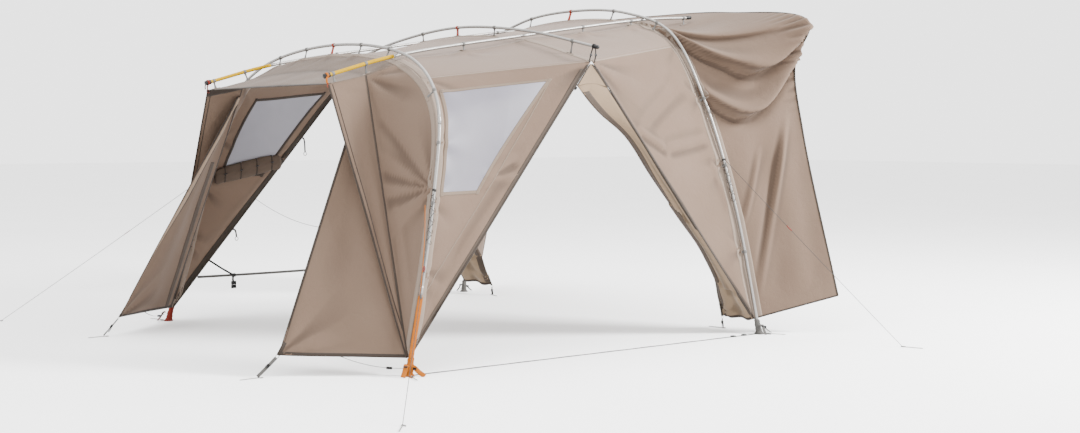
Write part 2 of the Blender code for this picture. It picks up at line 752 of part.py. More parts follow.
for name, side in SIDES.items():
    e = edges[name]
    inward = Vector((0, -side, 0))
    # Outer wall between the outer arch and the doorway, with the window let in
    door_line = line(e["door_outer"], e["apex"])
    wall = []
    for i in range(WALL_ROWS + 1):
        row = []
        for j in range(WALL_COLUMNS + 1):
            v, u = window_share(WINDOW_CORNERS[name], i, j, WALL_ROWS, WALL_COLUMNS)
            a, b = e["outer_leg"](v), door_line(v)
            depth = WALL_HOLLOW * math.sin(math.pi * u) * math.sin(math.pi * min(1.0, v * 1.15))
            row.append(a.lerp(b, u) + inward * depth * (b - a).length)
        wall.append(row)
    wall[-1] = [roof_rows[i][0 if side > 0 else -1] for i in range(WALL_COLUMNS + 1)]
    (c0, c1), (r0, r1) = WINDOW_COLUMNS, WINDOW_ROWS
    pane = {(i, j) for i in range(r0, r1) for j in range(c0, c1)}
    skin.panel(name + "_window_wall", wall, pane)
    skin.panel(name + "_window", [row[c0:c1 + 1] for row in wall[r0:r1 + 1]])
    # Wall between the doorway and the van arch
    back = fan(e["van_leg"], line(e["door_van"], e["apex"]), WALL_ROWS, WALL_COLUMNS, WALL_HOLLOW, inward)
    back[-1] = [roof_rows[-1 - i][0 if side > 0 else -1] for i in range(WALL_COLUMNS + 1)]
    skin.panel(name + "_van_wall", back)
    skin.thin |= {skin.key(row[-1]) for row in back}
    # Front corner: a cheek from the open front edge to the wing seam, then on to the outer arch
    # and over its shoulder, folded along the seam
    legs = [e["outer_leg"](i / WALL_ROWS) for i in range(WALL_ROWS + 1)]
    legs += (outer_section if side > 0 else outer_section[::-1])[1:SHOULDER_ROWS + 1]
    seam = line(e["wing_foot"], e["wing_top"])
    front_edge = line(e["eave_foot"], e["eave"])
    rows = []
    for i, leg in enumerate(legs):
        share = i / (len(legs) - 1)
        front, middle = front_edge(share), seam(share)
        row = [front.lerp(middle, j / CHEEK_COLUMNS) for j in range(CHEEK_COLUMNS + 1)]
        rows.append(row + [middle.lerp(leg, j / SHOULDER_COLUMNS) for j in range(1, SHOULDER_COLUMNS + 1)])
    rows[-1] = [row[0 if side > 0 else -1] for row in canopy_rows[:CHEEK_COLUMNS + 1]]
    top = [row[0 if side > 0 else -1] for row in canopy_rows[CHEEK_COLUMNS:]]
    rows[-1] += top[1:]
    skin.panel(name + "_front_corner", rows)


# Sleeve: from the van arch's skin line to its elastic edge, with two deep swags that hang from
# the arch and rise to the gathers at the edge's upper corner
def sleeve_edge(side):
    knots = [
        (0, 0, SLEEVE_CREST_UP), (0, SLEEVE_BROW_SIDE, SLEEVE_BROW_UP), (0, SLEEVE_CORNER_SIDE, SLEEVE_CORNER_UP),
        (0, SLEEVE_NECK_SIDE, SLEEVE_NECK_UP), (0, SLEEVE_WAIST_SIDE, SLEEVE_WAIST_UP),
        (0, SLEEVE_HEM_SIDE, SLEEVE_HEM_UP),
    ]
    return Path([at(o, s * side, u) for o, s, u in knots])


SLEEVE_COLUMNS = 9
SWAG_ZONE = (0.17, 0.56)
SWAG_FINE = 3
swags = (
    {"start": 0.20, "low": 0.375, "end": 0.30, "low_u": 0.62},
    {"start": 0.36, "low": 0.50, "end": 0.345, "low_u": 0.50},
)


def bump(distance, width):
    return math.exp(-(distance / width) ** 2)


def swag_line(u, swag):
    if u < swag["low_u"]:
        return swag["start"] + (swag["low"] - swag["start"]) * math.sin(u / swag["low_u"] * math.pi / 2)
    t = (u - swag["low_u"]) / (1 - swag["low_u"])
    return swag["low"] + (swag["end"] - swag["low"]) * (1 - math.cos(t * math.pi / 2))


def sleeve_fold(u, v):
    rise = 0.0
    for swag in swags:
        distance = v - swag_line(u, swag)
        fade = math.sin(math.pi * min(1.0, 0.12 + u * 0.88)) ** 0.6
        crest = bump(distance + 0.02, SWAG_WIDTH) - 0.8 * bump(distance - 0.035, SWAG_WIDTH * 0.7)
        rise += SWAG_DEPTH * fade * crest
    if v > 0.45:
        drop = min(1.0, (v - 0.45) / 0.2)
        pleats = bump(u - 0.82, 0.06) + 0.7 * bump(u - 0.64, 0.05) - 0.6 * bump(u - 0.73, 0.05)
        rise += PLEAT_DEPTH * drop * pleats
    return rise


def smooth_step(value, low, high):
    t = min(1.0, max(0.0, (value - low) / (high - low)))
    return t * t * (3 - 2 * t)


for name, side in SIDES.items():
    e = edges[name]
    edge = sleeve_edge(side)
    half = van_section[ROOF_COLUMNS // 2:: -1] if side > 0 else van_section[ROOF_COLUMNS // 2:]
    wall_side = [row[0] for row in skin.panels[name + "_van_wall"]]
    shared = half + wall_side[-2::-1]
    run = [0.0]
    for a, b in zip(shared, shared[1:]):
        run.append(run[-1] + (b - a).length)
    seam_points = []
    for i, (a, b) in enumerate(zip(shared, shared[1:])):
        zone = SWAG_ZONE[0] < (run[i] + run[i + 1]) / 2 / run[-1] < SWAG_ZONE[1]
        count = SWAG_FINE if zone else 1
        for k in range(count):
            p = a.lerp(b, k / count)
            if k:
                skin.chords[skin.key(p)] = (skin.key(a), skin.key(b), k / count)
            seam_points.append((p, (run[i] + (run[i + 1] - run[i]) * k / count) / run[-1]))
    seam_points.append((shared[-1], 1.0))
    grid = []
    for a, v in seam_points:
        b = edge.at(edge.length * v)
        row = []
        for j in range(SLEEVE_COLUMNS + 1):
            u = j / SLEEVE_COLUMNS
            p = a.lerp(b, u)
            outside = Vector((0, side * min(1.0, v * 2.6), max(0.0, 1 - v * 2.2))).normalized()
            sag = SLEEVE_SAG * (1 - smooth_step(v, 0.25, 0.42))
            p -= Vector((0, 0, sag * math.sin(math.pi * u)))
            if 0 < u < 1:
                p += outside * sleeve_fold(u, v)
            row.append(p)
        grid.append(row)
    skin.panel(name + "_sleeve", grid)

panel_material = defaultdict(lambda: "canvas")
panel_material.update({"near_window": "window_film", "far_window": "window_film", "roof": "canvas_pale"})
solids = skin.solids()
skins = {name: mesh_object(name, bm, panel_material[name]) for name, bm in solids.items()}


# Poles, in the lengths they pack down to. Each end runs straight, square to its neighbour's
pole_runs = defaultdict(list)


def pole(name, path, s0, s1, material_name, ferrules=(False, False), step=POLE_STEP, footed=False):
    points = path.between(s0, s1, step)
    forward = 1 if s1 > s0 else -1
    if not footed:
        points.insert(1, points[0] + path.tangent(s0) * forward * FERRULE_LENGTH)
    points.insert(-1, points[-1] - path.tangent(s1) * forward * FERRULE_LENGTH)
    for i in (-3, 2):
        if len(points) > 5 and (points[i] - points[i + (1 if i < 0 else -1)]).length < FERRULE_LENGTH:
            points.pop(i)
    pole_runs[id(path)].append(points)
    return tube(name, points, POLE_RADIUS, material_name, *ferrules)


for name, side in SIDES.items():
    foot_up = FOOT_FLOOR_UP + POLE_RADIUS * 0.35
    foot = seam_stop(outer_arch, side, lambda p: p.z, foot_up)
    foot_top = seam_stop(outer_arch, side, lambda p: p.z, OUTER_FOOT_POLE_UP)
    leg_top = seam_stop(outer_arch, side, lambda p: p.z, OUTER_LEG_TOP_UP)
    inward = JOINT_GAP * (-side)
    pole(name + "_foot_pole", outer_arch, foot, foot_top, "pole_orange", footed=True)
    pole(name + "_outer_leg", outer_arch, foot_top + inward, leg_top, "pole_grey", (True, False))
    edges[name]["crown_outer"] = leg_top + inward
    van_foot = seam_stop(van_arch, side, lambda p: p.z, foot_up)
    van_top = seam_stop(van_arch, side, lambda p: p.z, VAN_LEG_TOP_UP)
    pole(name + "_van_leg", van_arch, van_foot, van_top, "pole_grey", footed=True)
    edges[name]["crown_van"] = van_top + inward
    path = ridges[name]
    change = path.where(lambda p: -p.x, -(RIDGE_COLOUR_OUT - MID_OUT))
    pole(name + "_ridge_tip_pole", path, 0, change, "pole_yellow")
    pole(name + "_ridge_pole", path, change + JOINT_GAP, path.length, "pole_grey", (True, False), POLE_STEP * 1.6)
pole("outer_arch_crown", outer_arch, near["crown_outer"], far["crown_outer"], "pole_grey", (True, True))
pole("van_arch_crown", van_arch, near["crown_van"], far["crown_van"], "pole_grey", (True, True))
pole("middle_pole", middle_arch, 0, middle_arch.length, "pole_grey", (True, True), POLE_STEP * 1.3)


# Place on a pole's straight stretch nearest a point, clear of its bends, with the stretch's line
def on_pole(path, s):
    wanted = path.at(s)
    best = None
    for points in pole_runs[id(path)]:
        for a, b in zip(points, points[1:]):
            length = (b - a).length
            if length < 0.03:
                continue
            along = (b - a) / length
            t = min(max((wanted - a).dot(along), 0.012), length - 0.012)
            gap = (a + along * t - wanted).length
            if best is None or gap < best[0]:
                best = (gap, a + along * t, along)
    return best[1], best[2]


# Point on a panel straight across from a pole, found by casting onto the panel's own faces
def across_to(panel, centre, direction):
    points, faces = skin.faces(panel)
    best = None
    for face in faces:
        p = [points[k] for k in face]
        for tri in ((0, 1, 2), (0, 2, 3)):
            if max(tri) >= len(p):
                continue
            a, b, c = (p[k] for k in tri)
            n = (b - a).cross(c - a)
            if abs(n.dot(direction)) < 1e-12:
                continue
            t = n.dot(a - centre) / n.dot(direction)
            hit = centre + direction * t
            inside = all((q - r).cross(hit - r).dot(n) >= -1e-12 for r, q in ((a, b), (b, c), (c, a)))
            if inside and t > 0 and (best is None or t < best[0]):
                best = (t, hit)
    return best[1] if best else None


clips = defaultdict(list)


def hang_clip(panel, path, s, direction):
    centre, tangent = on_pole(path, s)
    direction = (direction - tangent * direction.dot(tangent)).normalized()
    target = across_to(panel, centre, direction)
    if target is None:
        print("no skin under clip", panel, tuple(round(c, 3) for c in centre))
        return
    clips[panel].append(clip(centre, tangent, target))


down = Vector((0, 0, -1))
crown = outer_arch.length / 2
for offset in (-0.72, -0.36, 0.0, 0.36, 0.72):
    hang_clip("front_canopy", outer_arch, crown + offset, down + Vector((0.30, 0, 0)))
crown = middle_arch.length / 2
for offset in (-1.32, -0.45, 0.0, 0.45, 1.32):
    hang_clip("roof", middle_arch, crown + offset, down)
crown = van_arch.length / 2
for offset in (-0.98, -0.5, 0.0, 0.5, 0.98):
    hang_clip("roof", van_arch, crown + offset, down + Vector((0.35, 0, 0)))
for name, side in SIDES.items():
    path = ridges[name]
    e = edges[name]
    hang_clip("front_canopy", path, 0.06, down + Vector((0.25, 0, 0)))
    hang_clip("front_canopy", path, path.where(lambda p: -p.x, -(WING_TOP_OUT - MID_OUT)), down + Vector((0.1, -side * 0.28, 0)))
    for out in (2.45, 1.35, 0.86):
        s = path.where(lambda p: -p.x, -(out - MID_OUT))
        hang_clip("roof", path, s, down)
    hang_clip(name + "_sleeve", path, path.length - 0.065, down)
    for up in (0.62, 1.03, 1.40):
        s = seam_stop(outer_arch, side, lambda p: p.z, up)
        hang_clip(name + "_window_wall", outer_arch, s, Vector((-0.35, -side, 0)))
    s = seam_stop(outer_arch, side, lambda p: p.z, 1.73)
    hang_clip(name + "_front_corner", outer_arch, s, Vector((0.30, -side, -0.8)))
    for up in (0.60, 1.23, 1.72):
        s = seam_stop(van_arch, side, lambda p: p.z, up)
        hang_clip(name + "_van_wall", van_arch, s, Vector((0.35, -side, -0.2)))

# Window covers, rolled up and buttoned under each window
for name, side in SIDES.items():
    wall = skin.panels[name + "_window_wall"]
    low = wall[WINDOW_ROWS[0]][WINDOW_COLUMNS[0]:WINDOW_COLUMNS[1] + 1]
    a, b = low[0].lerp(low[-1], 0.02), low[0].lerp(low[-1], 0.98)
    bm = bmesh.new()
    rings = []
    turns = 12
    for i in range(7):
        t = i / 6
        p = a.lerp(b, t) + Vector((0, -side * ROLL_THICK * 0.42, -ROLL_HEIGHT * 0.62))
        swell = 0.55 + 0.45 * math.sin(math.pi * min(1.0, max(0.0, 0.12 + t * 0.76)))
        ring = []
        for k in range(turns):
            c = 2 * math.pi * k / turns
            ring.append(bm.verts.new(p + Vector((0, math.cos(c) * ROLL_THICK / 2, math.sin(c) * ROLL_HEIGHT / 2)) * swell))
        rings.append(ring)
    for lo, hi in zip(rings, rings[1:]):
        for k in range(turns):
            m = (k + 1) % turns
            bm.faces.new((lo[k], lo[m], hi[m], hi[k]))
    bm.faces.new(rings[0])
    bm.faces.new(rings[-1])
    clips[name + "_window_wall"].append(bm)

for panel, shapes in clips.items():
    unite(skins[panel], shapes, panel + "_clips")

# Caps over the poles' free ends
def cap(name, end, outward, tail, material_name="black_plastic"):
    inner = POLE_RADIUS + SEAT_GAP
    outer = inner + CAP_WALL
    profile = [
        (0, SEAT_GAP), (inner, SEAT_GAP), (inner, -CAP_LENGTH + 0.008), (outer, -CAP_LENGTH + 0.006),
        (outer, tail * 0.6), (outer * 0.7, tail), (0, tail),
    ]
    return mesh_object(name, turned(profile, end, outward, 12), material_name)


for name, side in SIDES.items():
    path = ridges[name]
    cap(name + "_ridge_cap", path.at(0), -path.tangent(0.004), 0.012)
    cap(name + "_ridge_tail", path.at(path.length), path.tangent(path.length - 0.004), 0.02)


# Feet: a pocket round the pole's end on a flat base, with a tab for the peg
def foot(name, path, s, material_name, tab_direction):
    end = path.at(s)
    stretch = min(pole_runs[id(path)], key=lambda run: (run[0] - end).length)
    up = (stretch[1] - stretch[0]).normalized()
    inner = POLE_RADIUS + SEAT_GAP
    rise = FOOT_HEIGHT / up.z
    profile = [
        (0, -0.05), (FOOT_BASE_RADIUS, -0.05), (FOOT_BASE_RADIUS, -0.002), (FOOT_TOP_RADIUS, 0.02),
        (FOOT_TOP_RADIUS, rise + 0.03), (inner, rise + 0.03), (inner, -SEAT_GAP), (0, -SEAT_GAP),
    ]
    bm = turned(profile, end, up)
    cut_flat(bm, 0.0, True)
    cut_flat(bm, FOOT_HEIGHT, False)
    thing = mesh_object(name, bm, material_name)
    tab = bmesh.new()
    root = Vector((end.x, end.y, FOOT_TAB_THICK / 2))
    start = root + tab_direction * (FOOT_BASE_RADIUS * 0.6)
    stop = root + tab_direction * (FOOT_BASE_RADIUS + FOOT_TAB_LENGTH)
    bar(tab, start, stop, Vector((-tab_direction.y, tab_direction.x, 0)), FOOT_TAB_WIDTH, FOOT_TAB_THICK)
    unite(thing, [tab], name + "_tab")
    return root + tab_direction * (FOOT_BASE_RADIUS + FOOT_TAB_LENGTH * 0.85)


# Bent wire peg lying flat: the hook's short leg turns back beside the shank
def peg(name, hold, direction, base_up):
    side = Vector((-direction.y, direction.x, 0))
    z = Vector((0, 0, base_up + PEG_RADIUS + SEAT_GAP))
    flat = Vector((hold.x, hold.y, 0)) + z
    start = flat - direction * (PEG_LENGTH - PEG_TIP)
    points = [start + side * PEG_HOOK + direction * 0.022, start + side * PEG_HOOK + direction * 0.004]
    points += [start + side * PEG_HOOK * 0.5 - direction * 0.002, start + direction * 0.004]
    points += [start + direction * 0.03, start + direction * PEG_LENGTH]
    return tube(name, points, PEG_RADIUS, "peg_steel")


for name, side in SIDES.items():
    e = edges[name]
    s_outer = seam_stop(outer_arch, side, lambda p: p.z, FOOT_FLOOR_UP + POLE_RADIUS * 0.35)
    s_van = seam_stop(van_arch, side, lambda p: p.z, FOOT_FLOOR_UP + POLE_RADIUS * 0.35)
    away = Vector((0.35, side, 0)).normalized()
    hold = foot(name + "_outer_foot", outer_arch, s_outer, "pole_orange", away)
    peg(name + "_outer_peg", hold, away, FOOT_TAB_THICK)
    back = Vector((-0.5, side, 0)).normalized()
    hold = foot(name + "_van_foot", van_arch, s_van, "black_plastic", back)
    peg(name + "_van_peg", hold, back, FOOT_TAB_THICK)


# Hinged sheets. Each has a thin edge along its hinge and hangs as one flat panel with a hem,
# and a tie from its lower corner to the peg
def hinged_sheet(name, grid, origin, tie_to):
    points, faces = {}, []
    rows, columns = len(grid) - 1, len(grid[0]) - 1
    thin = set()
    for i in range(rows):
        for j in range(columns):
            face = []
            for r, c in ((i, j), (i, j + 1), (i + 1, j + 1), (i + 1, j)):
                k = Skin.key(grid[r][c])
                points[k] = grid[r][c]
                if c == 0:
                    thin.add(k)
                if k not in face:
                    face.append(k)
            faces.append(face)
    normals = defaultdict(Vector)
    for f in faces:
        n = Skin.area(f, points)
        for k in f:
            normals[k] += n
    bm = shell(points, faces, normals, set(), thin)
    thing = mesh_object(name, bm, "canvas", origin)
    corner = grid[-1][-1]
    inside = grid[-2][-2]
    tie = bmesh.new()
    start = corner.lerp(inside, 0.12)
    strap(tie, [start, corner.lerp(start, -0.2), tie_to], Vector((0, 1, 0)), TIE_WIDTH, TIE_THICK)
    bmesh.ops.translate(tie, verts=tie.verts, vec=-origin)
    unite(thing, [tie], name + "_tie")
    bpy.data.objects[name + "_tie"].location = origin
    return thing


def leaf_grid(top, foot_end, corner, gap, rows, columns, belly, toward, tip_share):
    hinge = (foot_end - top).normalized()
    free = (corner - top)
    inward = (free - hinge * free.dot(hinge)).normalized()
    grid = []
    for i in range(rows + 1):
        v = tip_share + (1 - tip_share) * i / rows
        a = top.lerp(foot_end, v) + inward * gap
        b = top.lerp(corner, v) + inward * gap * (1 - v)
        row = []
        for j in range(columns + 1):
            u = j / columns
            p = a.lerp(b, u)
            p += toward * belly * math.sin(math.pi * u) * math.sin(math.pi * min(1.0, v * 1.05)) * (b - a).length
            row.append(p)
        grid.append(row)
    return grid


def ground_tie(point, lift):
    return Vector((point.x, point.y, PEG_RADIUS * 2 + SEAT_GAP + lift))


joint_axes = {}
for name, side in SIDES.items():
    e = edges[name]
    # Front wing, pegged out in front, hinged on the seam between cheek and shoulder panel
    peg_point = at(WING_PEG_OUT, WING_PEG_SIDE * side, 0)
    top = e["wing_top"] + Vector((0, -side * 0.002, -0.03))
    low = e["wing_foot"]
    share = 1 - WING_CORNER_UP / e["wing_top"].z
    corner = top.lerp(peg_point, share)
    grid = leaf_grid(top, low, corner, WING_EDGE_GAP, 9, 5, 0.015, Vector((0.2, side, 0)), 0.06)
    hold = peg_point + Vector((0.012, 0, 0))
    hinged_sheet(name + "_front_wing", grid, e["wing_foot"], ground_tie(hold, WING_TIE_LIFT))
    peg(name + "_wing_peg", peg_point, Vector((1, 0, 0)), 0.0)
    joint_axes[name + "_wing"] = (e["wing_foot"], e["wing_top"])
    # Side door leaf, swung inwards, hinged on the doorway's seam to the van wall
    peg_point = at(DOOR_PEG_OUT, DOOR_PEG_SIDE * side, 0)
    top = e["apex"].lerp(e["door_van"], 0.02)
    low = e["door_van"]
    share = 1 - DOOR_CORNER_UP / top.z
    corner = top.lerp(peg_point, share)
    grid = leaf_grid(top, low, corner, DOOR_EDGE_GAP, 9, 4, 0.02, Vector((1, 0, 0)), 0.05)
    hold = peg_point + Vector((0, -side * 0.012, 0))
    hinged_sheet(name + "_door_leaf", grid, low, ground_tie(hold, DOOR_TIE_LIFT))
    peg(name + "_door_peg", peg_point, Vector((0.25, -side, 0)).normalized(), 0.0)
    joint_axes[name + "_door"] = (low, e["apex"])

# Centre of the front door, rolled up under the canopy between the wings
roll_row = canopy_rows[CHEEK_COLUMNS]
roll_points = []
for k in range(11):
    t = 0.05 + 0.9 * k / 10
    place = t * CANOPY_COLUMNS
    j = min(int(place), CANOPY_COLUMNS - 1)
    p = roll_row[j].lerp(roll_row[j + 1], place - j)
    roll_points.append(p - Vector((0, 0, SKIN / 2 + DOOR_ROLL_RADIUS + ROLL_GAP)))
tube("front_door_roll", roll_points, DOOR_ROLL_RADIUS, "canvas_dark")


# Guy lines with a runner each
def guy(top, ground):
    ground = Vector((ground.x, ground.y, GUY_RADIUS + SEAT_GAP + 0.004))
    return [top.lerp(ground, k / 4) for k in range(5)]


def split_guy(name, points):
    path = Path(points, steps=1)
    middle = path.length * RUNNER_SHARE
    centre, along = path.at(middle), path.tangent(middle)
    tube(name + "_guy_line", points, GUY_RADIUS, "guy_cord")
    inner = GUY_RADIUS + 0.0006
    profile = [
        (inner, -RUNNER_LENGTH / 2), (RUNNER_HALF, -RUNNER_LENGTH / 2 + 0.004), (RUNNER_HALF * 0.8, 0),
        (RUNNER_HALF, RUNNER_LENGTH / 2 - 0.004), (inner, RUNNER_LENGTH / 2), (inner, -RUNNER_LENGTH / 2),
    ]
    runner = turned(profile, centre, along, 12)
    bmesh.ops.remove_doubles(runner, verts=runner.verts, dist=1e-6)
    mesh_object(name + "_runner", runner, "red_webbing", centre)
    return centre, along


guys = {}
for name, side in SIDES.items():
    s = seam_stop(outer_arch, side, lambda p: p.z, GUY_TOP_UP)
    centre = on_pole(outer_arch, s)[0]
    out_dir = Vector((0.55, side, 0)).normalized()
    top = centre + out_dir * (POLE_RADIUS + GUY_RADIUS + GUY_EYE_GAP)
    end = at(GUY_FRONT_OUT, GUY_FRONT_SIDE, 0) if side > 0 else at(GUY_FAR_OUT, -GUY_FAR_SIDE, 0)
    guys[name + "_front"] = (top, end)
s = seam_stop(van_arch, 1, lambda p: p.z, GUY_BACK_TOP_UP)
centre = on_pole(van_arch, s)[0]
out_dir = Vector((-0.3, 1, 0)).normalized()
guys["near_back"] = (centre + out_dir * (POLE_RADIUS + GUY_RADIUS + GUY_EYE_GAP), at(GUY_BACK_OUT, GUY_BACK_SIDE, 0))
for name, (top, end) in guys.items():
    points = guy(top, end)
    centre, along = split_guy(name, points)
    joint_axes[name + "_runner"] = (centre, along)
    flat = Vector((along.x, along.y, 0)).normalized()
    peg(name + "_guy_peg", Vector((points[-1].x, points[-1].y, 0)) + flat * (PEG_LENGTH - PEG_TIP - GUY_EYE_LAP), flat, 0.0)


# Length a strap can run from a place before it meets a finished piece anywhere across its width
def reach(name, start, direction, across):
    bpy.context.view_layer.update()
    tree = BVHTree.FromObject(bpy.data.objects[name], bpy.context.evaluated_depsgraph_get())
    rays = [tree.ray_cast(start + across * STRAP_WIDTH * k / 8, direction) for k in range(-4, 5)]
    return min(ray[3] for ray in rays if ray[0])


# Straps: one along the ground across the near doorway, one across the far doorway
bm = bmesh.new()
a = at(OUTER_ARCH_OUT, OUTER_FOOT_SIDE, 0)
b = at(VAN_ARCH_OUT, VAN_FOOT_SIDE, 0)
along = (b - a).normalized()
lift = Vector((0, 0, STRAP_THICK / 2 + SEAT_GAP))
middle = a.lerp(b, 0.5) + lift
across = Vector((-along.y, along.x, 0))
start = middle - along * (reach("near_outer_foot", middle, -along, across) - SEAT_GAP)
stop = middle + along * (reach("near_van_foot", middle, along, across) - SEAT_GAP)
strap(bm, [start.lerp(stop, k / 6) for k in range(7)], across, STRAP_WIDTH, STRAP_THICK)
mesh_object("near_ground_strap", bm, "grey_webbing")

bm = bmesh.new()
e = far
door_front = line(e["door_outer"], e["apex"])
door_back = line(e["door_van"], e["apex"])
a = door_front((CROSS_STRAP_UP - HEM_UP) / (APEX_UP - HEM_UP))
b = door_back((CROSS_STRAP_UP - HEM_UP) / (APEX_UP - HEM_UP))
along = (b - a).normalized()
slopes = [abs((e["apex"] - e[k]).x / (e["apex"] - e[k]).z) for k in ("door_outer", "door_van")]
setbacks = [slope * STRAP_WIDTH / 2 + 0.0012 for slope in slopes]
strap(bm, [a + along * setbacks[0], b - along * setbacks[1]], Vector((0, 0, 1)), STRAP_WIDTH, STRAP_THICK)
mesh_object("far_door_strap", bm, "grey_webbing")

a = door_front((SLACK_UP - HEM_UP) / (APEX_UP - HEM_UP))
b = door_back((SLACK_UP - HEM_UP) / (APEX_UP - HEM_UP))
along = (b - a).normalized()
slack = []
for k in range(21):
    t = k / 20
    p = (a + along * SLACK_GAP).lerp(b - along * SLACK_GAP, t)
    p.z -= SLACK_SAG * 4 * t * (1 - t)
    slack.append(p)
tube("far_slack_cord", slack, 0.002, "guy_cord")

# Zip sliders, parked at the top of each side doorway's outer edge
for name, side in SIDES.items():
    e = edges[name]
    edge_line = line(e["door_outer"], e["apex"])
    centre = edge_line(0.90)
    along = (e["apex"] - e["door_outer"]).normalized()
    bm = bmesh.new()
    off = Vector((-1, 0, 0))
    off = (off - along * off.dot(along)).normalized()
    middle = centre + off * (SLIDER_WIDTH / 2 + 0.0006)
    bar(bm, middle - along * SLIDER_LENGTH / 2, middle + along * SLIDER_LENGTH / 2, off, SLIDER_WIDTH, SLIDER_THICK)
    mesh_object(name + "_zip_slider", bm, "black_plastic", middle)
    joint_axes[name + "_zip"] = (middle, -along)

for name, (a, b) in joint_axes.items():
    print("AXIS", name, [round(c, 5) for c in a], [round(c, 5) for c in b])
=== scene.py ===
import math

import bmesh
import bpy
import numpy as np
from mathutils import Matrix, Vector
from mathutils.bvhtree import BVHTree


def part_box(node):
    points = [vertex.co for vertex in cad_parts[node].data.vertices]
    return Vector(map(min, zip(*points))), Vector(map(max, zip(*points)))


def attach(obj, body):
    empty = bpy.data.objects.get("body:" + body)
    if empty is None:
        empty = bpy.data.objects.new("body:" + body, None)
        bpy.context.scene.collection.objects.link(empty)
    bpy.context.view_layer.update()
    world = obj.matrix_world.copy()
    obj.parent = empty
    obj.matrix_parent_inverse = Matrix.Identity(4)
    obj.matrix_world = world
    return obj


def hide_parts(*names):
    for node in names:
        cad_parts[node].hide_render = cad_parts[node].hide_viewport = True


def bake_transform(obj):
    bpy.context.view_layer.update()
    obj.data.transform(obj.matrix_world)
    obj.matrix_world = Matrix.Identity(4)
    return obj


# Campervan awning, dressed. Places are (out, side, up): out from its open back, side from the
# middle plane with the near side positive, up from the ground. All in metres.

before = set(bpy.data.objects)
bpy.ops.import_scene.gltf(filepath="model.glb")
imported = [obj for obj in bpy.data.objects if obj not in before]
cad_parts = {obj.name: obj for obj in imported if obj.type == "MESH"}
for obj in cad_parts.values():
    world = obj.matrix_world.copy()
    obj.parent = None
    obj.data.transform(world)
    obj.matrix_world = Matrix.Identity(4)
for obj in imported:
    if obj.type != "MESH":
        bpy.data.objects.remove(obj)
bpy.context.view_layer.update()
print("frame loaded")

centreOut = 2.1725
bothSides = {"near": 1, "far": -1}


def vec(x, y, z):
    return np.array((x, y, z), float)


def place(out, side, up):
    return vec(out - centreOut, side, up)


def onSide(spot, side):
    return place(spot[0], spot[1] * side, spot[2])


def unit(v):
    v = np.asarray(v, float)
    return v / np.maximum(np.linalg.norm(v, axis=-1, keepdims=True), 1e-12)


def smoothStep(value, low, high):
    t = np.clip((np.asarray(value, float) - low) / (high - low), 0, 1)
    return t * t * (3 - 2 * t)


def bump(distance, width):
    return np.exp(-(np.asarray(distance) / width) ** 2)


def lerp(a, b, t):
    t = np.asarray(t, float)[..., None]
    return a * (1 - t) + b * t


# Points round a centre, in the plane of two directions
def ringOf(centre, a, b, radius, steps=24):
    turns = np.linspace(0, 2 * math.pi, steps + 1)[:, None]
    return centre + (a * np.cos(turns) + b * np.sin(turns)) * radius


# The CAD node of a piece, as near_foot_pole for nearFootPole
def nodeOf(name):
    return "".join("_" + q.lower() if q.isupper() else q for q in name)


# Distances along lines of points, from the first one
def runAlong(points, axis=0):
    steps = np.linalg.norm(np.diff(points, axis=axis), axis=-1)
    pad = [(0, 0)] * steps.ndim
    pad[axis] = (1, 0)
    return np.pad(np.cumsum(steps, axis), pad)


# Curves

# Smooth line through knots, measured along its length
class Track:
    def __init__(self, knots, steps=24):
        knots = [np.asarray(k, float) for k in knots]
        ends = [2 * knots[0] - knots[1]] + knots + [2 * knots[-1] - knots[-2]]
        points = [knots[0]]
        for a, b, c, d in zip(ends, ends[1:], ends[2:], ends[3:]):
            tb = math.sqrt(np.linalg.norm(b - a))
            tc = tb + math.sqrt(np.linalg.norm(c - b))
            td = tc + math.sqrt(np.linalg.norm(d - c))
            for i in range(1, steps + 1):
                t = tb + (tc - tb) * i / steps
                ab = a + (b - a) * (t / tb)
                bc = b + (c - b) * ((t - tb) / (tc - tb))
                cd = c + (d - c) * ((t - tc) / (td - tc))
                abc = ab + (bc - ab) * (t / tc)
                bcd = bc + (cd - bc) * ((t - tb) / (td - tb))
                points.append(abc + (bcd - abc) * ((t - tb) / (tc - tb)))
        self.points = np.array(points)
        self.lengths = runAlong(self.points)
        self.length = self.lengths[-1]

    def at(self, s):
        s = np.asarray(s, float)
        return np.stack([np.interp(s, self.lengths, self.points[:, k]) for k in range(3)], -1)

    def along(self, s, reach=0.005):
        s = np.asarray(s, float)
        return unit(self.at(np.minimum(s + reach, self.length)) - self.at(np.maximum(s - reach, 0)))

    def where(self, measure, value, fromEnd=False):
        m = measure(self.points)
        order = range(len(m) - 1, 0, -1) if fromEnd else range(1, len(m))
        start = m[-1] if fromEnd else m[0]
        for i in order:
            a, b = (i, i - 1) if fromEnd else (i - 1, i)
            if (m[b] < value) != (start < value):
                gone = (value - m[a]) / (m[b] - m[a])
                return self.lengths[a] + gone * (self.lengths[b] - self.lengths[a])
        return 0.0 if fromEnd else self.length

    def run(self, s0, s1, step):
        return self.at(np.linspace(s0, s1, max(2, math.ceil(abs(s1 - s0) / step) + 1)))


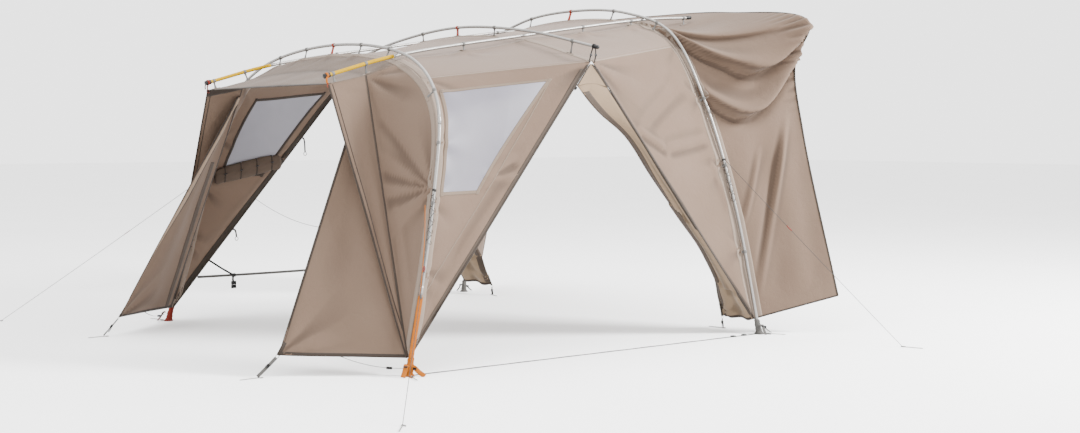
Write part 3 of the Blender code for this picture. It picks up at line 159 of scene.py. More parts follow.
outerArch = {
    "out": 3.49, "lean": -0.245, "crownUp": 2.08,
    "half": [(1.63, 0.0), (1.54, 1.03), (1.385, 1.645), (1.03, 1.932), (0.0, 2.08)],
}
vanArch = {
    "out": 0.478, "lean": 0.11, "crownUp": 2.445,
    "half": [(1.79, 0.0), (1.63, 0.946), (1.395, 1.71), (1.1, 2.215), (0.64, 2.39), (0.0, 2.445)],
}
middlePole = {"out": 1.89, "lean": 0.0, "half": [(1.55, 2.041), (0.81, 2.189), (0.0, 2.257)]}
ridgePole = {
    "side": 0.811, "tip": (3.552, 1.822), "tail": (0.225, 2.372),
    "under": {"outer": 0.028, "middle": 0.031, "van": 0.021},
}
skinHang = {"leg": 0.0225, "shoulder": 0.045, "crown": 0.068}
hemUp = 0.1058
poleSpec = {"radius": 0.0102, "ferrule": 0.0118, "tipRadius": 0.0125, "ferruleLength": 0.045}


def archTrack(spec):
    half = [(-side, up) for side, up in spec["half"]]
    half += [(-side, up) for side, up in reversed(half[:-1])]
    return Track([place(spec["out"] + spec["lean"] * up, side, up) for side, up in half])


outerTrack, vanTrack, middleTrack = archTrack(outerArch), archTrack(vanArch), archTrack(middlePole)


def stopOn(track, side, measure, value):
    return track.where(measure, value, fromEnd=side > 0)


def upStop(track, side, up):
    return stopOn(track, side, lambda p: p[:, 2], up)


def outStop(track, out):
    return track.where(lambda p: -p[:, 0], centreOut - out)


def ridgeTrack(side):
    y = ridgePole["side"] * side
    knots = [place(ridgePole["tip"][0], y, ridgePole["tip"][1])]
    for track, key in ((outerTrack, "outer"), (middleTrack, "middle"), (vanTrack, "van")):
        knots.append(track.at(track.where(lambda p: p[:, 1], y)) - vec(0, 0, ridgePole["under"][key]))
    knots.append(place(ridgePole["tail"][0], y, ridgePole["tail"][1]))
    return Track(knots)


ridgeTracks = {name: ridgeTrack(side) for name, side in bothSides.items()}


# Line of the skin under an arch
def skinTrack(track, spec):
    s = np.linspace(0, track.length, 161)
    p, along = track.at(s), track.along(s, 0.004)
    inward = unit(np.cross(along, unit((1, 0, -spec["lean"]))))
    flip = np.sum(inward * (vec(0, 0, 1.0) - p), axis=1) < 0
    inward[flip] *= -1
    rise = np.clip(p[:, 2] / spec["crownUp"], 0, 1)
    hang = np.interp(rise, [0.5, 0.8, 1.0], [skinHang["leg"], skinHang["shoulder"], skinHang["crown"]])
    return Track(p + inward * hang[:, None], steps=1)


outerSkin, vanSkin = skinTrack(outerTrack, outerArch), skinTrack(vanTrack, vanArch)
middleSkin = Track([
    place(1.89, -1.50, 1.95), place(1.89, -0.81, 2.121), place(1.89, 0, 2.189), place(1.89, 0.81, 2.121),
    place(1.89, 1.50, 1.95),
])

# Camera, set first so that the cords are judged in its view

cameraSpec = {"at": (6.1102, 8.5117, 1.4501), "yaw": -130.27, "pitch": -3.338, "roll": 0.09, "lens": 46.64}


def makeCamera():
    yaw, pitch, roll = (math.radians(cameraSpec[k]) for k in ("yaw", "pitch", "roll"))
    look = Vector((math.cos(yaw) * math.cos(pitch), math.sin(yaw) * math.cos(pitch), math.sin(pitch)))
    right = look.cross(Vector((0, 0, 1))).normalized()
    up = right.cross(look)
    right, up = (right * math.cos(roll) + up * math.sin(roll), up * math.cos(roll) - right * math.sin(roll))
    data = bpy.data.cameras.new("photoCamera")
    data.sensor_fit = "HORIZONTAL"
    data.sensor_width = 36
    data.lens = cameraSpec["lens"]
    data.clip_end = 200
    camera = bpy.data.objects.new("photoCamera", data)
    camera.matrix_world = Matrix((*zip(right, up, -look, cameraSpec["at"]), (0, 0, 0, 1)))
    bpy.context.scene.collection.objects.link(camera)
    bpy.context.scene.camera = camera


makeCamera()
print("camera set")

# Materials


class Shade:
    def __init__(self, name):
        self.material = bpy.data.materials.new(name)
        self.material.use_nodes = True
        self.tree = self.material.node_tree
        self.shader = self.tree.nodes["Principled BSDF"]
        self.across = 0

    def node(self, kind, inputs=None, **settings):
        made = self.tree.nodes.new(kind)
        self.across -= 60
        made.location = (self.across, self.across / 2)
        for key, value in settings.items():
            setattr(made, key, value)
        for key, value in (inputs or {}).items():
            self.feed(made.inputs[key], value)
        return made

    def feed(self, socket, value):
        if hasattr(value, "is_output"):
            self.tree.links.new(value, socket)
        else:
            socket.default_value = value

    def maths(self, operation, a, b=0.5):
        return self.node("ShaderNodeMath", {0: a, 1: b}, operation=operation).outputs[0]

    def mix(self, share, a, b):
        return self.node("ShaderNodeMix", {0: share, 6: a, 7: b}, data_type="RGBA").outputs[2]

    def spread(self, value, low, high, outLow=0.0, outHigh=1.0):
        names = {"Value": value, "From Min": low, "From Max": high, "To Min": outLow, "To Max": outHigh}
        return self.node("ShaderNodeMapRange", names).outputs[0]

    def noise(self, where, scale, detail=3.0, rough=0.55):
        values = {"Vector": where, "Scale": scale, "Detail": detail, "Roughness": rough}
        return self.node("ShaderNodeTexNoise", values).outputs["Fac"]

    def cut(self):
        return self.node("ShaderNodeUVMap", uv_map="cut").outputs[0]

    def solid(self):
        return self.node("ShaderNodeTexCoord").outputs["Object"]

    def wave(self, where, scale, direction, **more):
        values = {"Vector": where, "Scale": scale, **more}
        made = self.node("ShaderNodeTexWave", values, wave_type="BANDS", bands_direction=direction)
        return made.outputs["Fac"]

    def bump(self, height, strength, distance, under=None):
        values = {"Height": height, "Strength": strength, "Distance": distance}
        if under is not None:
            values["Normal"] = under
        return self.node("ShaderNodeBump", values).outputs[0]

    def finish(self, colour, roughness, normal=None, **sockets):
        self.feed(self.shader.inputs["Base Color"], colour)
        self.feed(self.shader.inputs["Roughness"], roughness)
        if normal is not None:
            self.feed(self.shader.inputs["Normal"], normal)
        for key, value in sockets.items():
            self.feed(self.shader.inputs[key.replace("_", " ")], value)
        return self.material


def rgb(r, g, b):
    return (r, g, b, 1.0)


def toned(colour, share, more=0.0):
    return rgb(*(min(1, c * share + more) for c in colour))


# Plain-weave cloth: threads and packing creases, with slow changes of tone across the panel, and painted
# shade darkening the hollows of its folds
def clothMaterial(name, spec):
    s = Shade(name)
    uv = s.cut()
    solid = s.solid()
    threads = [s.wave(uv, spec["threads"], direction, Distortion=0.6, Detail=1.0) for direction in ("X", "Y")]
    weave = s.maths("MULTIPLY", threads[0], threads[1])
    slow = s.noise(solid, 0.9, 2.0)
    cloudy = s.noise(solid, 4.5, 4.0)
    slub = s.noise(uv, 240.0, 2.0)
    fold = s.noise(solid, 3.1, 5.0, 0.6)
    crumple = s.spread(s.maths("ABSOLUTE", s.maths("SUBTRACT", fold, 0.5)), 0.0, 0.055)
    colour = s.mix(s.spread(slow, 0.3, 0.7), rgb(*spec["dark"]), rgb(*spec["light"]))
    colour = s.mix(s.spread(cloudy, 0.35, 0.75, 0.0, 0.35), colour, rgb(*spec["tint"]))
    colour = s.mix(s.spread(weave, 0.0, 0.6, 0.10, 0.0), colour, toned(spec["dark"], 0.55))
    colour = s.mix(s.spread(slub, 0.4, 0.7, 0.0, 0.12), colour, toned(spec["light"], 1.25))
    # Painted shade: the colour is darkened towards a dark tint where the cloth lies in a hollow of its folds
    hollow = s.node("ShaderNodeAttribute", attribute_name="hollow").outputs["Fac"]
    colour = s.mix(s.spread(hollow, 0.05, 1.0, 0.0, spec["shade"]), colour, toned(spec["tint"], 0.34))
    rough = s.spread(cloudy, 0.3, 0.7, spec["rough"] - 0.05, spec["rough"] + 0.05)
    normal = s.bump(crumple, 0.18 * spec["crease"], 0.004)
    normal = s.bump(s.noise(solid, 14.0, 4.0), 0.25 * spec["crease"], 0.003, normal)
    normal = s.bump(weave, 0.35, 0.0003, normal)
    return s.finish(colour, rough, normal, Sheen_Weight=0.05, Sheen_Roughness=0.5, Specular_IOR_Level=0.15)


# Of each cloth, its dark, light and tinted colour and what differs from the usual; shade is how strongly
# painted shade darkens the hollows of its folds
clothUsual = {"threads": 330.0, "rough": 0.82, "crease": 1.0, "shade": 0.6}
clothSpecs = {
    "canvas": ((0.088, 0.058, 0.040), (0.115, 0.077, 0.055), (0.101, 0.066, 0.047), {}),
    "roofCanvas": ((0.113, 0.081, 0.063), (0.139, 0.101, 0.078), (0.125, 0.090, 0.070),
                   {"rough": 0.8, "crease": 0.8, "shade": 0.25}),
    "canopyCanvas": ((0.080, 0.057, 0.043), (0.103, 0.074, 0.056), (0.091, 0.065, 0.049), {"crease": 0.9}),
    "doorCanvas": ((0.140, 0.098, 0.062), (0.178, 0.125, 0.080), (0.158, 0.110, 0.070), {}),
    "rollCanvas": ((0.045, 0.031, 0.022), (0.063, 0.044, 0.032), (0.053, 0.037, 0.027),
                   {"rough": 0.85, "crease": 1.3}),
    "tapeCloth": ((0.132, 0.101, 0.078), (0.167, 0.128, 0.101), (0.148, 0.113, 0.088),
                  {"threads": 420.0, "rough": 0.75, "crease": 0.5}),
    "pipingCloth": ((0.190, 0.133, 0.090), (0.240, 0.170, 0.118), (0.210, 0.148, 0.100),
                    {"threads": 420.0, "rough": 0.75, "crease": 0.5}),
    "frameCloth": ((0.100, 0.073, 0.053), (0.128, 0.094, 0.070), (0.114, 0.083, 0.061),
                   {"threads": 420.0, "rough": 0.78, "crease": 0.5}),
    "edgeCloth": ((0.038, 0.027, 0.020), (0.049, 0.036, 0.027), (0.043, 0.031, 0.023),
                  {"threads": 420.0, "rough": 0.78, "crease": 0.5}),
    "hemCloth": ((0.021, 0.015, 0.011), (0.029, 0.022, 0.017), (0.025, 0.018, 0.014),
                 {"threads": 420.0, "rough": 0.8, "crease": 0.6}),
}
finishes = {}
for name, (dark, light, tint, more) in clothSpecs.items():
    finishes[name] = clothMaterial(name, {**clothUsual, "dark": dark, "light": light, "tint": tint, **more})


# Window film: pale, slightly see-through, with a fine mesh in it
def filmMaterial():
    s = Shade("windowFilm")
    uv = s.cut()
    solid = s.solid()
    mesh = s.maths("MAXIMUM", s.wave(uv, 260.0, "X"), s.wave(uv, 260.0, "Y"))
    haze = s.noise(solid, 2.2, 3.0)
    colour = s.mix(s.spread(haze, 0.3, 0.7), rgb(0.128, 0.122, 0.144), rgb(0.165, 0.157, 0.184))
    colour = s.mix(s.spread(mesh, 0.7, 1.0, 0.0, 0.2), colour, rgb(0.14, 0.132, 0.158))
    normal = s.bump(s.noise(solid, 5.0, 3.0), 0.2, 0.004)
    normal = s.bump(mesh, 0.2, 0.0002, normal)
    s.material.surface_render_method = "DITHERED"
    rough = s.spread(haze, 0.3, 0.7, 0.38, 0.50)
    return s.finish(colour, rough, normal, Alpha=0.84, Coat_Weight=0.06, Specular_IOR_Level=0.3)


finishes["windowFilm"] = filmMaterial()


# Drawn tube: fine streaks along the pole, worn and dulled in places
def metalMaterial(name, spec):
    s = Shade(name)
    uv = s.cut()
    solid = s.solid()
    streaks = s.node("ShaderNodeMapping", {"Vector": uv, "Scale": (900.0, 14.0, 1.0)}).outputs[0]
    drawn = s.noise(streaks, 1.0, 3.0)
    worn = s.noise(solid, 22.0, 5.0, 0.65)
    colour = s.mix(s.spread(drawn, 0.3, 0.7), rgb(*spec["dark"]), rgb(*spec["light"]))
    colour = s.mix(s.spread(worn, 0.58, 0.75, 0.0, 0.5), colour, rgb(*spec["worn"]))
    rough = s.spread(worn, 0.3, 0.75, spec["rough"] - 0.08, spec["rough"] + 0.14)
    normal = s.bump(drawn, 0.15, 0.0002)
    normal = s.bump(worn, 0.08, 0.0006, normal)
    return s.finish(colour, rough, normal, Metallic=spec["metallic"], Specular_IOR_Level=spec["shine"])


metalSpecs = {
    "poleGrey": {
        "dark": (0.190, 0.182, 0.172), "light": (0.262, 0.252, 0.240), "worn": (0.125, 0.120, 0.113),
        "rough": 0.38, "metallic": 0.6, "shine": 0.5,
    },
    "poleYellow": {
        "dark": (0.270, 0.158, 0.000), "light": (0.345, 0.205, 0.000), "worn": (0.210, 0.118, 0.002),
        "rough": 0.48, "metallic": 0.0, "shine": 0.05,
    },
    "poleOrange": {
        "dark": (0.270, 0.080, 0.000), "light": (0.330, 0.102, 0.000), "worn": (0.205, 0.060, 0.001),
        "rough": 0.48, "metallic": 0.0, "shine": 0.05,
    },
    "pegSteel": {
        "dark": (0.173, 0.169, 0.162), "light": (0.259, 0.252, 0.245), "worn": (0.108, 0.086, 0.072),
        "rough": 0.4, "metallic": 0.9, "shine": 0.5,
    },
    "zipMetal": {
        "dark": (0.072, 0.072, 0.072), "light": (0.144, 0.144, 0.137), "worn": (0.216, 0.209, 0.202),
        "rough": 0.35, "metallic": 0.8, "shine": 0.5,
    },
}
finishes.update({name: metalMaterial(name, spec) for name, spec in metalSpecs.items()})


# Moulded plastic with a fine matt grain
def plasticMaterial(name, colour, rough):
    s = Shade(name)
    solid = s.solid()
    fine = s.noise(solid, 900.0, 2.0)
    rubbed = s.noise(solid, 40.0, 4.0)
    tone = s.mix(s.spread(rubbed, 0.45, 0.75, 0.0, 0.35), rgb(*colour), toned(colour, 1.5, 0.004))
    roughness = s.spread(rubbed, 0.3, 0.7, rough - 0.06, rough + 0.1)
    return s.finish(tone, roughness, s.bump(fine, 0.25, 0.0002), Specular_IOR_Level=0.25)


plasticSpecs = {  # colour and roughness
    "blackPlastic": ((0.0045, 0.0045, 0.0048), 0.45), "greyPlastic": ((0.085, 0.081, 0.076), 0.5),
    "redPlastic": ((0.085, 0.006, 0.0015), 0.45), "orangePlastic": ((0.175, 0.012, 0.0), 0.45),
}
finishes.update({name: plasticMaterial(name, *spec) for name, spec in plasticSpecs.items()})


# Woven webbing: chevrons across the strap, darker at the selvedges
def webbingMaterial(name, colour):
    s = Shade(name)
    uv = s.cut()
    solid = s.solid()
    chevron = s.wave(uv, 230.0, "DIAGONAL", Distortion=1.5, Detail=1.0)
    ribs = s.maths("MULTIPLY", chevron, s.wave(uv, 300.0, "X"))
    worn = s.noise(solid, 30.0, 4.0)
    tone = s.mix(s.spread(ribs, 0.1, 0.7), toned(colour, 0.65), rgb(*colour))
    tone = s.mix(s.spread(worn, 0.5, 0.8, 0.0, 0.3), tone, toned(colour, 1.3, 0.008))
    rough = s.spread(worn, 0.3, 0.7, 0.72, 0.88)
    return s.finish(tone, rough, s.bump(ribs, 0.5, 0.0005), Specular_IOR_Level=0.2)


webbingSpecs = {
    "redWebbing": (0.130, 0.0095, 0.003), "orangeWebbing": (0.31, 0.084, 0.0),
    "greyWebbing": (0.075, 0.071, 0.066), "blackWebbing": (0.0085, 0.0080, 0.0078),
}
finishes.update({name: webbingMaterial(name, colour) for name, colour in webbingSpecs.items()})


# Braided cord: strands wind round it both ways
def cordMaterial(name, colour, fleck):
    s = Shade(name)
    uv = s.cut()
    turned = []
    for turn in (38.0, -38.0):
        where = s.node("ShaderNodeMapping", {"Vector": uv, "Rotation": (0, 0, math.radians(turn))})
        turned.append(s.wave(where.outputs[0], 420.0, "X"))
    braid = s.maths("MAXIMUM", turned[0], turned[1])
    spots = s.noise(uv, 260.0, 1.0)
    tone = s.mix(s.spread(braid, 0.5, 1.0), toned(colour, 0.6), rgb(*colour))
    tone = s.mix(s.spread(spots, 0.62, 0.66), tone, rgb(*fleck))
    return s.finish(tone, s.spread(spots, 0.3, 0.7, 0.7, 0.85), s.bump(braid, 0.6, 0.0006))


# Thread and coil: a fine twist over the object's own space
def threadMaterial(name, dark, light, twist):
    s = Shade(name)
    solid = s.solid()
    turns = s.wave(solid, twist, "DIAGONAL", Distortion=1.0)
    worn = s.noise(solid, 60.0, 2.0)
    tone = s.mix(s.spread(turns, 0.2, 0.8), rgb(*dark), rgb(*light))
    return s.finish(tone, s.spread(worn, 0.3, 0.7, 0.55, 0.75), s.bump(turns, 0.4, 0.0003))


finishes["stitchThread"] = threadMaterial("stitchThread", (0.030, 0.022, 0.017), (0.058, 0.042, 0.032), 900.0)
finishes["zipCoil"] = threadMaterial("zipCoil", (0.030, 0.027, 0.025), (0.060, 0.055, 0.050), 500.0)
finishes["guyCord"] = cordMaterial("guyCord", (0.015, 0.014, 0.013), (0.036, 0.034, 0.032))
finishes["slackRope"] = cordMaterial("slackRope", (0.010, 0.010, 0.009), (0.024, 0.023, 0.022))
print("materials made:", len(finishes))

# Mesh helpers. Each returns an object whose mesh holds its place


def linkMesh(name, mesh, finish):
    mesh.materials.append(finishes[finish])
    made = bpy.data.objects.new(name, mesh)
    bpy.context.scene.collection.objects.link(made)
    return made


# Mesh from vertices, faces as lists of their numbers, and one (u, v) for each vertex
def buildMesh(name, verts, faces, finish, uvs):
    mesh = bpy.data.meshes.new(name)
    mesh.from_pydata([tuple(v) for v in verts], [], faces)
    layer = mesh.uv_layers.new(name="cut")
    index = np.empty(len(mesh.loops), int)
    mesh.loops.foreach_get("vertex_index", index)
    layer.data.foreach_set("uv", np.asarray(uvs, np.float32)[index].ravel())
    mesh.polygons.foreach_set("use_smooth", [True] * len(mesh.polygons))
    mesh.update()
    return linkMesh(name, mesh, finish)


def joinAll(name, things):
    bm = bmesh.new()
    slots = []
    for thing in things:
        offset = len(slots)
        slots += list(thing.data.materials)
        before = len(bm.faces)
        bm.from_mesh(thing.data)
        bm.faces.ensure_lookup_table()
        for f in bm.faces[before:]:
            f.material_index += offset
    mesh = bpy.data.meshes.new(name)
    bm.to_mesh(mesh)
    bm.free()
    kept = list(dict.fromkeys(slots))
    remap = [kept.index(m) for m in slots]
    index = np.empty(len(mesh.polygons), np.int32)
    mesh.polygons.foreach_get("material_index", index)
    mesh.polygons.foreach_set("material_index", np.array(remap, np.int32)[index])
    for m in kept:
        mesh.materials.append(m)
    for thing in things:
        old = thing.data
        bpy.data.objects.remove(thing)
        bpy.data.meshes.remove(old)
    made = bpy.data.objects.new(name, mesh)
    bpy.context.scene.collection.objects.link(made)
    return made


# Directions along a line of points and two across it, which don't twist
def frames(points):
    points = np.asarray(points, float)
    along = unit(np.gradient(points, axis=0))
    start = vec(0, 0, 1)
    if abs(np.dot(start, along[0])) > 0.95:
        start = vec(0, 1.0, 0)
    side = unit(start - along[0] * np.dot(start, along[0]))
    sides = [side]
    for t in along[1:]:
        side = unit(side - t * np.dot(side, t))
        sides.append(side)
    sides = np.array(sides)
    return along, sides, np.cross(along, sides)


# Skin over rings of points, each ring holding the same number of them
def loftMesh(name, verts, around, finish, uvs, capped=True):
    rows = len(verts) // around
    faces = []
    for i in range(rows - 1):
        for k in range(around):
            m = (k + 1) % around
            faces.append((i * around + k, i * around + m, (i + 1) * around + m, (i + 1) * around + k))
    if capped:
        faces.append(tuple(range(around - 1, -1, -1)))
        faces.append(tuple((rows - 1) * around + k for k in range(around)))
    return buildMesh(name, verts, faces, finish, uvs)


# Closed round tube along points; radius is one number or one for each point
def tubeMesh(name, points, radius, finish, segments=16):
    points = np.asarray(points, float)
    radius = np.broadcast_to(np.asarray(radius, float), (len(points),))
    _, a, b = frames(points)
    angles = np.linspace(0, 2 * math.pi, segments, endpoint=False)
    ring = points[:, None, :] + radius[:, None, None] * (
        a[:, None, :] * np.cos(angles)[None, :, None] + b[:, None, :] * np.sin(angles)[None, :, None])
    run = runAlong(points)
    uvs = [(far, turn * float(np.median(radius))) for far in run for turn in angles]
    return loftMesh(name, ring.reshape(-1, 3), segments, finish, uvs)


# Flat strap along points. normal is the strap's own up, one vector or one for each point
def strapMesh(name, points, width, thick, normal, finish):
    points = np.asarray(points, float)
    along = unit(np.gradient(points, axis=0))
    normal = np.broadcast_to(np.asarray(normal, float), points.shape)
    across = unit(np.cross(normal, along))
    up = np.cross(along, across)
    width = np.broadcast_to(np.asarray(width, float), (len(points),))
    edge = 0.42
    outline = [(-0.5, 0), (-edge, -0.5), (0, -0.5), (edge, -0.5), (0.5, 0), (edge, 0.5), (0, 0.5),
               (-edge, 0.5)]
    run = runAlong(points)
    verts, uvs = [], []
    for i, p in enumerate(points):
        for a, b in outline:
            verts.append(p + across[i] * a * width[i] + up[i] * b * thick)
            uvs.append((run[i], a * width[i]))
    made = loftMesh(name, verts, len(outline), finish, uvs)
    fixNormals(made)
    return made


# Strap along a smooth line through knots
def webMesh(knots, width, thick, normal, finish, steps=8):
    return strapMesh("web", Track(knots, steps).points, width, thick, normal, finish)


# Strap closed round a centre
def bandMesh(centre, a, b, radius, width, thick, finish, steps=24):
    ring = ringOf(centre, a, b, radius, steps)
    return strapMesh("band", ring, width, thick, unit(ring - centre), finish)


def fixNormals(thing, merged=0.0):
    bm = bmesh.new()
    bm.from_mesh(thing.data)
    if merged:
        bmesh.ops.remove_doubles(bm, verts=bm.verts, dist=merged)
    bmesh.ops.recalc_face_normals(bm, faces=bm.faces)
    if bm.calc_volume(signed=True) < 0:
        bmesh.ops.reverse_faces(bm, faces=bm.faces)
    bm.to_mesh(thing.data)
    bm.free()


# Turned piece: profile is (radius, height) pairs along an axis from a base point
def latheMesh(name, profile, base, axis, finish):
    segments = 24
    axis = unit(axis)
    a = unit(np.cross(axis, (0, 0, 1) if abs(axis[2]) < 0.9 else (0, 1, 0)))
    b = np.cross(axis, a)
    verts, uvs, faces, rings = [], [], [], []
    for r, h in profile:
        centre = np.asarray(base, float) + axis * h
        if r < 1e-6:
            rings.append([len(verts)] * segments)
            verts.append(centre)
            uvs.append((h, 0))
            continue
        ring = []
        for k in range(segments):
            t = 2 * math.pi * k / segments
            ring.append(len(verts))
            verts.append(centre + (a * math.cos(t) + b * math.sin(t)) * r)
            uvs.append((h, t * r))
        rings.append(ring)
    for lo, hi in zip(rings, rings[1:]):
        for k in range(segments):
            m = (k + 1) % segments
            face = dict.fromkeys((lo[k], lo[m], hi[m], hi[k]))
            if len(face) > 2:
                faces.append(tuple(face))
    made = buildMesh(name, verts, faces, finish, uvs)
    fixNormals(made)
    return made


# Rounded block, along x, y and z directions given
def blockMesh(centre, directions, sizes, finish="blackPlastic", bevel=0.3, segments=3):
    x, y, z = (unit(d) for d in directions)
    bm = bmesh.new()
    bmesh.ops.create_cube(bm, size=1)
    for v in bm.verts:
        v.co = centre + x * v.co.x * sizes[0] + y * v.co.y * sizes[1] + z * v.co.z * sizes[2]
    bmesh.ops.bevel(bm, geom=list(bm.edges), offset=min(sizes) * bevel, segments=segments, profile=0.6,
                    affect="EDGES")
    bmesh.ops.recalc_face_normals(bm, faces=bm.faces)
    mesh = bpy.data.meshes.new("block")
    layer = bm.loops.layers.uv.new("cut")
    for f in bm.faces:
        f.smooth = True
        for loop in f.loops:
            d = np.array(loop.vert.co) - centre
            loop[layer].uv = (float(d @ x), float(d @ y + d @ z))
    bm.to_mesh(mesh)
    bm.free()
    return linkMesh("block", mesh, finish)


# A block's directions where it lies level and points one way
def levelAxes(way):
    return (way, np.cross((0, 0, 1), way), (0, 0, 1))


def applyModifiers(thing):
    bpy.context.view_layer.update()
    graph = bpy.context.evaluated_depsgraph_get()
    mesh = bpy.data.meshes.new_from_object(
        thing.evaluated_get(graph), preserve_all_data_layers=True, depsgraph=graph)
    old = thing.data
    thing.modifiers.clear()
    thing.data = mesh
    bpy.data.meshes.remove(old)
    thing.data.polygons.foreach_set("use_smooth", [True] * len(mesh.polygons))
    return thing


# Where a door leaf or wing would start to turn and where it would turn freely: heights up the leaf's seam,
# which stays zipped at its top, and distances from the wing's seam. Only the names are read, and pieces with
# these names are kept where they are made
bendSpec = {"door_leaf": (1.77, 1.25), "front_wing": (0.003, 0.10)}


# The share of a seam's height at which it reaches a height
def seamShare(up):
    return (up - hemUp) / (skinPlan["apex"][2] - hemUp)


def dressed(thing, body="shelter", *nodes):
    name, _, kind = body.partition("_")
    if kind in bendSpec:
        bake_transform(thing)
    else:
        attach(thing, body)
    if nodes:
        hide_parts(*nodes)
    return thing


# The same for a piece of the shelter that stands for the CAD node of its own name
def standsFor(thing):
    return dressed(thing, "shelter", nodeOf(thing.name))


# Guy lines

guySpec = {
    "radius": 0.0018, "groundUp": 0.0061, "eye": 0.0102, "sag": 0.006,
    "runnerShare": 0.38, "runnerLength": 0.055, "knotTurns": 4, "pegAhead": 0.0293,
}
pegSpec = {"radius": 0.0026, "length": 0.15, "tip": 0.12, "hook": 0.016, "seat": 0.0003}
guyGround = {"nearFront": (4.34, 2.80), "farFront": (4.487, -2.435), "nearBack": (0.219, 2.841)}
guyTop = {"nearFront": ("outer", 1, 1.108, (0.55, 1)), "farFront": ("outer", -1, 1.108, (0.55, -1)),
          "nearBack": ("van", 1, 1.27, (-0.3, 1))}
guyNodes = {"nearFront": "near_front", "farFront": "far_front", "nearBack": "near_back"}
archTracks = {"outer": outerTrack, "van": vanTrack}


# Lark's head and winding where the line grips the pole
def guyKnot(name, centre, along, outward):
    a = unit(np.asarray(outward, float) - along * np.dot(outward, along))
    b = np.cross(along, a)
    grip = poleSpec["radius"] + guySpec["radius"]
    turns = guySpec["knotTurns"]
    points = []
    for k in range(turns * 16 + 1):
        t = 2 * math.pi * k / 16
        climb = (k / (turns * 16) - 0.5) * turns * guySpec["radius"] * 2.1
        points.append(centre + (a * math.cos(t) + b * math.sin(t)) * grip + along * climb)
    winding = tubeMesh("winding", points, guySpec["radius"], "guyCord", 8)
    lump = ringOf(centre + a * (grip + 0.004), a * 0.0035, b * 0.0045, 1)
    lump += along * 0.0035 * np.sin(np.linspace(0, 4 * math.pi, 25))[:, None]
    return joinAll(name, [winding, tubeMesh("hitch", lump, guySpec["radius"], "guyCord", 8)])


# Runner: a flat tensioner with three holes, the line through it
def runnerPiece(name, centre, along):
    side = unit(np.cross(along, (0, 0, 1)))
    up = np.cross(side, along)
    length = guySpec["runnerLength"]
    profile = []
    for k in range(33):
        t = 2 * math.pi * k / 32
        waist = 0.0072 - 0.0016 * math.cos(2 * t)
        profile.append((math.cos(t) * length / 2, math.sin(t) * waist))
    bm = bmesh.new()
    rim = [bm.verts.new(centre + along * x + side * y) for x, y in profile[:-1]]
    bm.faces.new(rim)
    bmesh.ops.triangulate(bm, faces=bm.faces)
    mesh = bpy.data.meshes.new(name)
    bm.loops.layers.uv.new("cut")
    bm.to_mesh(mesh)
    bm.free()
    plate = linkMesh(name, mesh, "redPlastic")
    thick = plate.modifiers.new("thick", "SOLIDIFY")
    thick.thickness = 0.0045
    thick.offset = 0
    bevel = plate.modifiers.new("bevel", "BEVEL")
    bevel.width = 0.0012
    bevel.segments = 3
    applyModifiers(plate)
    fixNormals(plate)
    eyes = [ringOf(centre + along * k * length + up * 0.0026, along, side, 0.0034, 20)
            for k in (-0.36, 0.0, 0.36)]
    return joinAll(name, [plate] + [tubeMesh("eye", ring, 0.0009, "redPlastic", 8) for ring in eyes])


def guyLine(name):
    track, side, up, facing = guyTop[name]
    path = archTracks[track]
    s = upStop(path, side, up)
    centre, along = path.at(s), path.along(s)
    facing = unit((*facing, 0))
    start = centre + facing * guySpec["eye"]
    out, across = guyGround[name]
    end = place(out, across, guySpec["groundUp"])
    return hung(start, end, guySpec["sag"], 30), centre, along, facing


# Bent wire peg, its hook turned back beside the shank
def pegPiece(name, hold, direction, baseUp=0.0):
    direction = unit((direction[0], direction[1], 0))
    side = vec(-direction[1], direction[0], 0)
    start = vec(hold[0], hold[1], baseUp + pegSpec["radius"] + pegSpec["seat"])
    start -= direction * (pegSpec["length"] - pegSpec["tip"])
    hook = side * pegSpec["hook"]
    places = ((1, 0.022), (1, 0.006), (0.5, -0.003), (0, 0.004), (0, 0.03), (0, pegSpec["length"]))
    path = Track([start + hook * aside + direction * far for aside, far in places], 12)
    points = path.run(0, path.length, 0.003)
    radius = np.full(len(points), pegSpec["radius"])
    radius[-4:] = pegSpec["radius"] * np.array((0.85, 0.6, 0.35, 0.12))
    return standsFor(tubeMesh(name, points, radius, "pegSteel", 12))


# Cloth. A panel is a base surface over (v, u), each from 0 to 1, and folds along its normals

panelThick = 0.0014


class Cloth:
    def __init__(self, base, fold=None, outward=(0, 0, 1)):
        self.base, self.fold, self.outward = base, fold, np.asarray(outward, float)

    def normals(self, v, u):
        e = 2e-3
        dv = self.base(np.clip(v + e, 0, 1), u) - self.base(np.clip(v - e, 0, 1), u)
        du = self.base(v, np.clip(u + e, 0, 1)) - self.base(v, np.clip(u - e, 0, 1))
        n = np.cross(du, dv)
        flat = np.linalg.norm(n, axis=-1) < 1e-12
        n[flat] = self.outward
        n = unit(n)
        n[np.sum(n * self.outward, axis=-1) < 0] *= -1
        return n

    def points(self, v, u, lift=0.0):
        v, u = np.broadcast_arrays(np.asarray(v, float), np.asarray(u, float))
        p = self.base(v, u)
        rise = lift + (self.fold(v, u, p) if self.fold else 0.0)
        return p + self.normals(v, u) * np.asarray(rise)[..., None]

    def spot(self, v, u, lift=0.0):
        return self.points(np.array([v]), np.array([u]), lift)[0]

    def facing(self, v, u):
        return self.normals(np.array([v]), np.array([u]))[0]


# Points of a line that sags between two ends
def hung(start, end, sag, steps):
    t = np.linspace(0, 1, steps + 1)
    points = lerp(start, end, t)
    points[:, 2] -= sag * 4 * t * (1 - t)
    return points


def spans(*stops):
    parts = [np.linspace(a, b, n + 1)[(1 if i else 0):] for i, (a, b, n) in enumerate(stops)]
    return np.concatenate(parts)


paintedShadeDepth = 0.020
